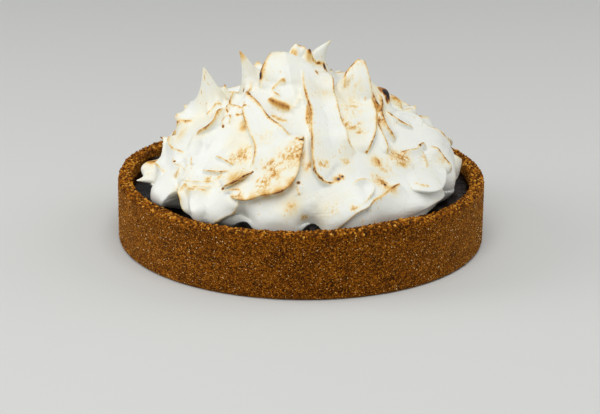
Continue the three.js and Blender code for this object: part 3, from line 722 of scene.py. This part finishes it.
def crests_at(points):
    """Height and sideways shift from the crests, and their edges' browning, on one fold painted shadow."""
    cubes = np.zeros(len(points))
    shift = np.zeros((len(points), 3))
    crestline = np.full(len(points), 9.0)
    scorch_and_shade = np.zeros(len(points))
    stroke = np.zeros(len(points))
    leading = np.zeros(len(points))
    second = np.zeros(len(points))
    for k, (places, height, run_left, run_right, lean, brown, width) in enumerate(CRESTS):
        near = close_to(LINES[k], points, max(run_left, run_right, BROWN_REACH * width))
        if not len(near):
            continue
        distance, along, left, side = nearest_on(LINES[k], points[near])
        taper = np.clip(along / CREST_TAPER, 0, 1) * np.clip((1 - along) / CREST_TAPER, 0, 1)
        taper *= 2 - taper
        away = np.hypot(distance, CREST_ROUNDING) - CREST_ROUNDING
        run = np.where(side >= 0, run_left, run_right)
        wander = 1 + 0.12 * np.sin(7 * along + 1.7 * k)
        raised = height * taper * wander * np.clip(1 - away / run, 0, 1) ** 3
        cubes[near] += raised**3
        leads = raised > leading[near]
        second[near] = np.where(leads, leading[near], np.maximum(second[near], raised))
        stroke[near] = np.where(leads, distance + 6 * along + 7.3 * k, stroke[near])
        leading[near] = np.maximum(leading[near], raised)
        felt = np.where((side >= 0) == (lean >= 0), *LIP_REACH)
        shift[near] += left * (lean * taper * np.clip(1 - away / felt, 0, 1) ** 2)[:, None]
        patchy = 0.75 + 0.25 * np.sin(17 * along + 2.3 * k)
        cooler = np.clip(1 - distance / (BROWN_REACH * width), 0, 1)
        hot = brown * np.clip(1.6 * taper, 0, 1) * patchy * cooler
        hotter = hot > scorch_and_shade[near]
        signed = np.where(side >= 0, distance, -distance) / width
        crestline[near] = np.where(hotter, signed, crestline[near])
        scorch_and_shade[near] = np.where(hotter, hot, scorch_and_shade[near])
    # the marks of the spoon show where one crest clearly leads over the others
    clear = np.clip(3 * (leading - second) / np.maximum(leading, 0.3), 0, 1)
    dragged = clear * np.clip(leading * 2.5, 0, 1)
    marks = {"crestline": crestline, "scorch_and_shade": scorch_and_shade, "stroke": stroke, "dragged": dragged}
    return np.cbrt(cubes), shift, marks


# Pulled-up points: azimuth and latitude, height, lean along X and Y towards the tip, half width, half
# thickness, a power that is higher for more hollow flanks, the azimuth that the point faces, and how brown
# its tip is. Those of no height, at the lower left, only draw a cleft into the foot of the heap.
POINTS = [
    (-80.5, 48, 25, (-3.8, 0), 17, 10, 1.7, -25, 0.15),
    (-72, 64, 25.5, (-7.3, 0), 12.5, 9, 1.6, -15, 0.6), (-84, 54, 9, (0.2, 0), 5, 5, 1.3, -30, 1),
    (-65, 56.5, 5.5, (-1.5, 0), 7.5, 6, 1.1, -30, 0), (64.5, 61, 20.3, (-3.5, 0), 21, 11, 0.92, 15, 0.1),
    (104, 83, 12, (6, 0), 11, 7, 1.1, 5, 0), (104, 83, 6.5, (4, 0), 6, 5, 1.6, 5, 0.3),
    (36, 85.5, 7, (1.2, -1), 5, 3.5, 1.1, 0, 1), (-72, 85.3, 6.5, (0, 0), 5.5, 4.5, 0.5, 0, 0),
    (-110, 87, 4, (-1, 0), 9, 6, 1, 0, 0.3), (-48, 77.5, 11, (-1, 0), 20, 15, 0.65, -20, 0),
    (-10, 84, 3, (0, 0), 20, 14, 0.9, 0, 0), (65, 32.3, 1, (1, -1), 5, 4, 1.5, 60, 0),
    (-84, 24.3, 7, (-6.5, 0), 5.5, 5, 1.5, -30, 1.6), (-86, 36, 3.5, (-5, -2), 8, 7, 1.5, -60, 0.5),
    (-79, 4, -1, (-10, -1), 8, 4, 1.4, -70, 0), (-22, 27, 2, (3, -1), 5, 5, 1.5, 0, 0),
    (130, 56, 6, (3, 3), 18, 9, 1.2, 140, 0.35), (165, 62, 9, (-2, 4), 17, 9, 1.2, 150, 0.35),
    (-150, 50, 8, (-4, 3), 18, 9, 1.2, -140, 0.35), (-126, 42, 4, (-4, 2), 16, 9, 1.2, -110, 0.35),
    (115, 34, 5, (4, 2), 15, 9, 1.4, 100, 0.35), (155, 33, 8, (2, 6), 15, 8, 1.4, 160, 0.35),
    (-165, 27, 8, (-2, 6), 15, 8, 1.4, -170, 0.35), (-118, 29, 6, (-5, 3), 15, 8, 1.4, -120, 0.35),
    (-52.7, 7, 0, (11, 9), 4.5, 9, 0.6, -52, 0), (-52.5, 0, 0, (19, 15), 5.5, 9, 0.6, -52, 0),
    (-52, -8, 0, (22, 18), 7, 9, 0.6, -52, 0), (-51.5, -20, 0, (22, 18), 9, 9, 0.6, -52, 0),
    (-51, -34, 0, (28, 22), 13, 14, 0.6, -52, 0),
]

POINT_BLUNTNESS = 0.055


def point_share(row, points):
    """How fully points of the heap belong to a pulled-up point: 1 at its tip, 0 outside it."""
    azimuth, latitude, _, _, width, thickness, power, faces, _ = row
    turn = math.radians(faces)
    through = np.array([-math.sin(turn), math.cos(turn), 0.35])
    through /= np.linalg.norm(through)
    off = points - heap_point(azimuth, latitude)
    deep = off @ through
    across = np.sqrt(np.maximum(0, (off * off).sum(1) - deep**2))
    distance = np.sqrt((across / width) ** 2 + (deep / thickness) ** 2 + POINT_BLUNTNESS**2)
    return np.clip(1 + POINT_BLUNTNESS - distance, 0, 1) ** power


# Broad swells and hollows: azimuth, latitude, radius and height, which is negative for a hollow.
MOUNDS = [
    (-14, 32, 22, 2.5), (-16, 56, 11, -6), (-70, 56, 9, -4), (-98, 66, 14, -9), (90, 66, 16, -9),
    (28, 52, 10, -3), (77.5, 53, 3.8, 4.5), (36, 67, 9, -5), (12, 45, 12, 2), (-34, 6, 15, 4),
    (54, 17, 14, 4), (32, 24, 9, -2), (50, 38, 12, -2), (-40, 34, 12, -2), (-60, 30, 12, -2),
    (-30, 72, 12, 2), (78, 30, 16, 4), (26, -6, 24, 9), (-8, -8, 22, 9), (-64, 1, 11, 8),
    (-95, 45, 11, 4), (-39, -2, 9, 4), (-84, 7, 7, 8), (-81, 17, 6, -7), (-88, 24, 7, -5),
    (-94, 22, 10, -6), (-100, 16, 11, -10), (101, 54, 12, -8), (42, -4, 14, 6), (-104, 36, 14, -5),
    (100, 52, 16, -2), (105, 38, 17, -5), (75, 9, 15, 6), (66, -8, 9, -6), (80, -5, 9, -7),
    (98, 24, 22, 7), (100, 28, 12, -8), (180, 62, 22, -4), (-140, 50, 20, -4), (140, 50, 18, -3),
    (-112, 55, 15, -9), (130, 66, 16, -5), (3, 1, 7.5, -8), (-23, -2, 9, -8),
]

# Toasted patches on the smooth slopes: azimuth, latitude, radius and strength.
PATCHES = [
    (-4, 37, 6, 0.85), (-8, 36, 6, 0.6), (-3, 42, 4, 0.5), (-13, 31, 4.5, 1.1), (-12, 27.5, 4, 1),
    (-15, 24, 5, 0.7), (-20, 43, 6, 0.25), (-28, 35, 5, 0.9), (-32, 34, 4, 0.7), (-26, 24.5, 4.5, 0.5),
    (-9, 32, 5, 0.5), (31, 48.5, 2.2, 2), (31.5, 45, 1.5, 1.2), (36.5, 49.3, 1.5, 1), (28, 51.5, 4, 1),
    (27, 56, 4, 0.5), (33, 46, 4, 0.4), (9, 33, 3, 0.8), (2.5, 33, 3.5, 0.8), (34.5, 31.8, 3.5, 0.8),
    (46, 33.5, 4.5, 0.9), (49, 31, 5, 1.1), (46.5, 29.5, 4, 1), (42, 31, 4, 0.4), (37, 28, 5, 0.4),
    (31, 24.5, 3.5, 1), (33, 22.5, 3, 1.2), (-4, 13, 5, 0.2), (0.5, 8, 2, 0.9), (-42, 15.5, 4, 0.3),
    (-78, 33, 5, 0.3), (-84, 14, 3, 0.7), (-58.5, 18.6, 3.5, 0.6), (-63, 47, 4, 0.4), (58, 52, 5, 0.5),
    (70, 22, 5, 0.35), (-36, 24, 6, 0.45), (-25, 38, 5, 0.35), (20, 34, 3, 0.5), (60, 26, 4, 0.4),
    (10, 12, 4, 0.35), (22, 66, 5, 0.3), (40, 57, 7, 0.4), (50, 62, 7, 0.3), (72, 78, 5, 0.3),
    (-40, 22, 3, 0.7), (17, 13, 2, 0.6),
]

# Smooth golden places, where the flame passed further off: azimuth, latitude, radius and strength.
GLOWS = [
    (-36, 46.8, 3, 0.4), (-38.5, 48.5, 3, 0.25), (-28, 24.5, 4.5, 0.24), (-24.5, 26, 3, 0.2),
    (-5.5, 24.7, 3, 0.4), (-9, 21.5, 3, 0.4), (-13.5, 19.8, 3, 0.4), (-18, 18.3, 2.5, 0.34),
    (-22, 17.4, 2.3, 0.3), (-26, 16.7, 1.8, 0.25), (-4, 34, 8, 0.12), (34, 18, 3.5, 0.3),
    (-45, 15.5, 3, 0.14), (-38, 16, 3, 0.12), (-78, 33, 6, 0.1), (68, 54, 6, 0.12), (57, 52, 5, 0.3),
    (48, 47, 4, 0.25), (4.3, 58.6, 1.4, 0.3), (4.6, 57, 1.8, 0.42), (4.5, 55.4, 2.1, 0.5),
    (5, 53.4, 2, 0.5), (4.8, 51.2, 1.7, 0.42), (5, 49, 1.2, 0.25), (26, 49, 4, 0.15),
    (-27.5, 61.5, 1.5, 0.72), (-29.5, 61.6, 2.1, 0.55), (-26.5, 61.3, 2.3, 0.58),
    (-23.5, 61.1, 2.3, 0.56), (-20.5, 60.9, 2.3, 0.56), (-17.5, 60.7, 2.3, 0.56), (-14.5, 60.5, 1.9, 0.5),
    (-22, 55.6, 1.8, 0.2), (-18.5, 55.1, 2, 0.25), (-15, 54.9, 1.8, 0.2), (-60, 76, 6, 0.08),
    (-49.5, 68, 2, 0.3), (-51, 70, 1.8, 0.16), (-54, 77.8, 1.5, 0.25), (-57, 80, 1.5, 0.25),
    (-57, 82.4, 1.5, 0.35), (-44, 83, 1.5, 0.35), (30, 84.5, 2.5, 0.3), (-75, 86.5, 1.6, 0.35),
    (10, 88, 1.6, 0.4), (47, 32, 4.5, 0.16), (34.5, 31.8, 3, 0.24), (13.6, 26.6, 2, 0.5),
    (15.5, 27.4, 1.8, 0.5), (31.5, 23.5, 3, 0.16), (-84, 14, 3, 0.3), (-53.5, 8, 2.5, 0.2),
    (-54, 12, 2.5, 0.22), (-50, 13.5, 2.5, 0.2), (-46, 12.5, 2.5, 0.18), (-4, 13.5, 5, 0.15),
    (-3.8, 14, 1.3, 0.3), (-30, 36, 9, 0.05), (-12, 30, 9, 0.05),
]

# Burnt dots where a small bubble or a fine tip stood up: azimuth, latitude, radius and strength.
DOTS = [
    (-1.7, 25.2, 1, 1), (30.8, 36.8, 0.7, 0.6), (-50.3, 44.7, 0.8, 1), (-80.6, 45, 0.35, 0.45),
    (-79.3, 47.3, 0.35, 0.45), (-21.8, 27, 0.8, 1), (-31.5, 19, 0.9, 0.9), (84, 79.2, 1, 1),
    (62.5, 31.6, 0.8, 0.8), (5, 30.8, 0.7, 0.9), (14.5, 26.6, 0.9, 0.8), (16.3, 27.6, 0.7, 0.8),
    (33.5, 21.5, 0.8, 0.6), (-64.9, 22.9, 0.65, 1), (29, 76.9, 0.85, 0.75), (-49, 67.2, 0.9, 1),
    (-67.6, 60.3, 0.55, 1), (-65.3, 57.5, 0.6, 1), (77.8, 52.9, 2.1, 1.15), (75.6, 52.3, 1.7, 1.1),
    (74.6, 53.2, 1.4, 1.1), (73.2, 54.2, 1.3, 0.6), (73.6, 51.9, 1.1, 0.8), (75.5, 54.4, 1.2, 0.7),
    (-78, 58.3, 0.9, 1),
]


def swells_at(rows, points, mix):
    """Soft round bumps at points of the heap, mixed by np.add or np.maximum."""
    total = np.zeros(len(points))
    for azimuth, latitude, radius, strength in rows:
        squared = ((points - heap_point(azimuth, latitude)) ** 2).sum(1)
        total = mix(total, strength * np.exp(-squared / radius**2))
    return total


def dots_at(points):
    """Burnt dots at points of the heap: 1 in the middle of a full one."""
    total = np.zeros(len(points))
    for azimuth, latitude, radius, strength in DOTS:
        distance = np.linalg.norm(points - heap_point(azimuth, latitude), axis=1)
        total = np.maximum(total, strength * np.clip(1.5 - distance / radius, 0, 1))
    return total


WALL_GAP = 0.9  # kept between the meringue and the inside of the crust's wall
OVERHANG = 4  # how far over the wall the meringue may stand, well above the rim
OVERHANG_RISE = 16  # over so much height above the rim it comes to be free to
WALL_EASE = 2.2  # how gently the meringue gives way to the wall
BALL_FOOT = -0.72  # the lowest part of the ball becomes the flat underside
SPLIT_ABOVE = 1.35  # an edge is split when it is so many times the wanted length

# The share of the heap's area that lies below each latitude. The ball is laid over the heap by it, so that
# its net is even.
LATITUDES = np.linspace(HEAP_FOOT, 90, 401)
radii, heights = heap_outline(LATITUDES)
bands = np.hypot(np.diff(radii), np.diff(heights)) * (radii[1:] + radii[:-1]) / 2
AREA_BELOW = np.concatenate([[0], np.cumsum(bands)]) / bands.sum()


def over_heap(ball):
    """Azimuth and latitude that points of a ball are laid on, and their share of the way up."""
    share = (ball[:, 2] - BALL_FOOT) / (1 - BALL_FOOT)
    azimuth = np.degrees(np.arctan2(ball[:, 0], -ball[:, 1]))
    return azimuth, np.interp(np.clip(share, 0, 1), AREA_BELOW, LATITUDES), share


def wanted_edge(points, azimuth, latitude):
    """Side that the net's triangles should have: fine along crests, dots and points, coarse on slopes."""
    distance = np.full(len(points), 8.0)
    for line in LINES:
        near = close_to(line, points, 8)
        if len(near):
            distance[near] = np.minimum(distance[near], nearest_on(line, points[near])[0])
    edge = FINE_EDGE * np.interp(distance, [0, 1.2, 3, 7], [1, 1.1, 2, 3.2])
    edge = np.minimum(edge, FINE_EDGE * np.interp(dots_at(points), [0, 0.2], [3.2, 0.9]))
    for row in POINTS:
        share = point_share(row, points)
        edge = np.minimum(edge, FINE_EDGE * np.interp(share, [0.1, 0.5, 0.9], [3.2, 1.6, 0.6]))
    # the back is a little coarser, and the hidden foot much coarser
    edge *= np.where(np.abs(azimuth) > 100, 1.35, 1)
    return np.where(latitude < -25, 5, edge)


def refined(ball, faces):
    """Splits every edge that is longer than wanted, and keeps the net closed."""
    for _ in range(6):
        azimuth, latitude, _ = over_heap(ball)
        points = heap_point(azimuth, latitude)
        wanted = wanted_edge(points, azimuth, latitude)
        edges = np.sort(np.vstack([faces[:, [0, 1]], faces[:, [1, 2]], faces[:, [2, 0]]]), 1)
        keys, where = np.unique(edges[:, 0] * len(ball) + edges[:, 1], return_inverse=True)
        start, end = keys // len(ball), keys % len(ball)
        long = np.linalg.norm(points[start] - points[end], axis=1)
        cut = long > SPLIT_ABOVE * np.minimum(wanted[start], wanted[end])
        if not cut.any():
            break
        middle = np.full(len(keys), -1)
        middle[cut] = len(ball) + np.arange(cut.sum())
        halfway = ball[start[cut]] + ball[end[cut]]
        ball = np.vstack([ball, halfway / np.linalg.norm(halfway, axis=1, keepdims=True)])
        mid = middle[where].reshape(3, -1).T
        cuts = (mid >= 0).sum(1)
        parts = [faces[cuts == 0]]
        (a, b, c), (ab, bc, ca) = faces[cuts == 3].T, mid[cuts == 3].T
        parts += [np.stack(f, 1) for f in ((a, ab, ca), (ab, b, bc), (ca, bc, c), (ab, bc, ca))]
        for i in range(3):
            corners, middles = np.roll(faces, -i, 1), np.roll(mid, -i, 1)
            one = (cuts == 1) & (middles[:, 0] >= 0)
            (a, b, c), ab = corners[one].T, middles[one, 0]
            parts += [np.stack(f, 1) for f in ((a, ab, c), (ab, b, c))]
            two = (cuts == 2) & (middles[:, 0] < 0)
            (a, b, c), (_, bc, ca) = corners[two].T, middles[two].T
            parts += [np.stack(f, 1) for f in ((bc, c, ca), (a, bc, ca), (a, b, bc))]
        faces = np.vstack(parts)
    return ball, faces


def meringue_surface(ball):
    """Lays the ball over the heap and gives it crests, swells, points, browning and one painted shadow."""
    azimuth, latitude, share = over_heap(ball)
    base = heap_point(azimuth, latitude)
    height, shift, browning = crests_at(base)
    # crests fade out from latitude 2 down to -30, broad swells from -12 down to -50
    fade = np.clip((latitude + 30) / 32, 0, 1)
    ripple = [noise.noise(p / 9) + 0.5 * noise.noise(p / 3.5) for p in map(Vector, base)]
    ripple = RIPPLE * np.array(ripple)
    out = (HOLLOW_LEVEL + height + ripple) * fade
    broad_fade = np.clip((latitude + 50) / 38, 0, 1)
    out += swells_at(MOUNDS, base, np.add) * broad_fade
    points = base + heap_normal(azimuth, latitude) * out[:, None] + shift * fade[:, None]
    tip = np.zeros(len(points))
    for row in POINTS:
        belongs = point_share(row, base)
        points[:, 2] += row[2] * belongs
        points[:, :2] += np.outer(belongs**2, row[3])
        tip = np.maximum(tip, row[8] * np.clip((belongs - 0.7) / 0.25, 0, 1))
    free = np.clip((points[:, 2] - CRUST_HEIGHT - 1) / OVERHANG_RISE, 0, 1)
    held_at = CRUST_INSIDE - WALL_GAP + OVERHANG * free
    from_axis = np.hypot(points[:, 0], points[:, 1])
    over = from_axis - held_at
    held_back = (over + np.hypot(over, WALL_EASE)) / 2
    points[:, :2] *= (1 - held_back / np.maximum(from_axis, WALL_EASE))[:, None]
    below = share < 0
    spread = np.sqrt((1 - ball[below, 2] ** 2) / (1 - BALL_FOOT**2))
    foot = heap_point(azimuth[below], HEAP_FOOT)
    points[below, :2] = foot[:, :2] * spread[:, None]
    points[below, 2] = FILLING_LEVEL - HEAP_BURIED
    browning["scorch_and_shade"] *= fade
    browning["patch"] = swells_at(PATCHES, base, np.maximum)
    browning["glow"] = swells_at(GLOWS, base, np.maximum)
    browning["dot"] = dots_at(base)
    browning["tip"] = tip
    return points, browning


TOAST_COLOURS = [
    (0, "#E9EBE4"), (0.1, "#ECE6CC"), (0.26, "#E6C582"), (0.46, "#CA9340"), (0.66, "#965A14"),
    (0.86, "#502404"), (1, "#120A05"),
]


def toasted_meringue():
    """Torched meringue: smooth, moist and white, with thin brown edges and mottled golden patches."""
    material, tree, shader = new_material("torched meringue")
    place = object_place(tree)
    names = ("crestline", "scorch_and_shade", "patch", "glow", "dot", "tip", "stroke", "dragged")
    known = {name: own_value(tree, name) for name in names}
    # each pattern: its size, detail, scale along Z, and the values at which it starts and is full
    for name, size, detail, along_z, low, high in (
        ("ragged", 1.8, 2, 1, 0.3, 0.7), ("along", 7, 2, 1, 0.36, 0.62),
        ("streaks", 2.4, 4, 0.3, 0.45, 0.62), ("specks", 1.1, 2, 1, 0.56, 0.68),
        ("faint", 30, 2, 1, 0.45, 0.75), ("pepper", 1.7, 1, 0.7, 0.64, 0.76),
        ("cloud", 14, 2, 1, 0.42, 0.6),
    ):
        where = add_node(tree, "ShaderNodeMapping", {"Vector": place, "Scale": (1, 1, along_z)})
        look = {"Vector": where, "Scale": per_mm(size), "Detail": detail, "Roughness": 0.65}
        span = {"Value": add_node(tree, "ShaderNodeTexNoise", look), "From Min": low, "From Max": high}
        known[name] = add_node(tree, "ShaderNodeMapRange", span, interpolation_type="SMOOTHSTEP")
    # each step: its name, the operation and its values, which are numbers or earlier names
    for name, operation, *values in (
        ("off", "ABSOLUTE", "crestline"),
        ("off", "MULTIPLY_ADD", "ragged", 0.5, "off"),
        ("halo", "MULTIPLY_ADD", "off", -0.72, 1.25),
        ("halo", "MINIMUM", "halo", 1),
        ("halo", "MAXIMUM", "halo", 0),
        ("halo", "POWER", "halo", 1.5),
        ("core", "MULTIPLY_ADD", "off", -1.6, 1.25),
        ("core", "MINIMUM", "core", 1),
        ("core", "MAXIMUM", "core", 0),
        ("soft", "MULTIPLY", "halo", "scorch_and_shade"),
        ("keep", "MULTIPLY_ADD", "along", 0.4, 0.6),
        ("soft", "MULTIPLY", "soft", "keep"),
        ("burnt", "MULTIPLY", "scorch_and_shade", "scorch_and_shade"),
        ("burnt", "MULTIPLY", "burnt", "core"),
        ("keep", "MULTIPLY_ADD", "along", 0.7, 0.3),
        ("burnt", "MULTIPLY", "burnt", "keep"),
        ("toast", "MULTIPLY", "soft", 0.66),
        ("toast", "MULTIPLY_ADD", "burnt", 0.46, "toast"),
        ("mottle", "MULTIPLY", "specks", 0.34),
        ("mottle", "MULTIPLY_ADD", "streaks", 0.5, "mottle"),
        ("mottle", "ADD", "mottle", 0.09),
        ("mottle", "MULTIPLY", "patch", "mottle"),
        ("mottle", "MINIMUM", "mottle", 0.44),
        ("toast", "ADD", "mottle", "toast"),
        ("toast", "MULTIPLY_ADD", "faint", 0.07, "toast"),
        ("pepper", "MULTIPLY", "pepper", "cloud"),
        ("toast", "MULTIPLY_ADD", "pepper", 0.24, "toast"),
        ("toast", "ADD", "toast", "glow"),
        ("toast", "MULTIPLY_ADD", "tip", 0.6, "toast"),
        ("toast", "ADD", "toast", "dot"),
    ):
        inputs = {i: known.get(value, value) for i, value in enumerate(values)}
        known[name] = add_node(tree, "ShaderNodeMath", inputs, operation=operation)
    ramp = add_node(tree, "ShaderNodeValToRGB", {"Fac": known["toast"]})
    colours(ramp, TOAST_COLOURS)
    # fine lines that the spoon drew along each stroke
    drawn = {"W": known["stroke"], "Scale": 0.9, "Detail": 2}
    lines = add_node(tree, "ShaderNodeTexNoise", drawn, noise_dimensions="1D")
    drag = add_node(tree, "ShaderNodeMath", {0: lines, 1: known["dragged"]}, operation="MULTIPLY")
    skin = add_node(tree, "ShaderNodeTexNoise", {"Vector": place, "Scale": per_mm(2.5), "Detail": 4})
    relief = add_node(tree, "ShaderNodeMath", {0: drag, 1: 0.9, 2: skin}, operation="MULTIPLY_ADD")
    bump = add_node(tree, "ShaderNodeBump", {"Strength": 0.5, "Distance": 0.4 * MM, "Height": relief})
    feed(tree, shader, {"Base Color": ramp, "Normal": bump, "Roughness": 0.4, "Subsurface Weight": 0.1})
    feed(tree, shader, {"Subsurface Radius": (1.2 * MM, 1.2 * MM, 1.0 * MM), "Subsurface Scale": 1.0})
    return material


bpy.ops.mesh.primitive_ico_sphere_add(subdivisions=5, radius=1)
start = bpy.context.object
ball = np.array([v.co for v in start.data.vertices], float)
ball /= np.linalg.norm(ball, axis=1, keepdims=True)
faces = np.array([p.vertices for p in start.data.polygons])
bpy.data.objects.remove(start)
ball, faces = refined(ball, faces)
points, browning = meringue_surface(ball)
meringue = piece("meringue_heap", points, faces, toasted_meringue(), **browning)
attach(meringue, "root")
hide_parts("meringue")


# ---------- Stage: a plain pale board under soft studio light ----------

# A painted board: pale and matt.
board, tree, shader = new_material("pale matt board")
feed(tree, shader, {"Base Color": linear("#CDCECB"), "Roughness": 0.9})
FAR = 3000  # half the side of the board
floor_points = [(-FAR, -FAR, 0), (FAR, -FAR, 0), (FAR, FAR, 0), (-FAR, FAR, 0)]
floor = piece("floor", floor_points, [(0, 1, 2, 3)], board)

world = bpy.data.worlds.new("studio")
bpy.context.scene.world = world
world.use_nodes = True
sky = world.node_tree.nodes["Background"]
feed(world.node_tree, sky, {"Color": (0.82, 0.82, 0.82, 1), "Strength": 0.36})


def soft_light(name, place, width, depth, power):
    """A soft box that looks at the pie."""
    light = bpy.data.lights.new(name, "AREA")
    light.shape = "RECTANGLE"
    light.size = width
    light.size_y = depth
    light.energy = power
    stood(name, light, place, (0, 0, 0.05))


soft_light("left_soft_box", (-1.4, -0.05, 0.7), 0.9, 0.9, 8.8)
soft_light("right_soft_box", (1.1, 0.3, 0.8), 0.9, 0.9, 3.8)
soft_light("front_soft_box", (-0.2, -1.3, 1.5), 1.2, 0.9, 13)
soft_light("top_soft_box", (0.1, -0.3, 1.7), 1.0, 1.0, 9)
bpy.context.scene.view_settings.view_transform = "Standard"
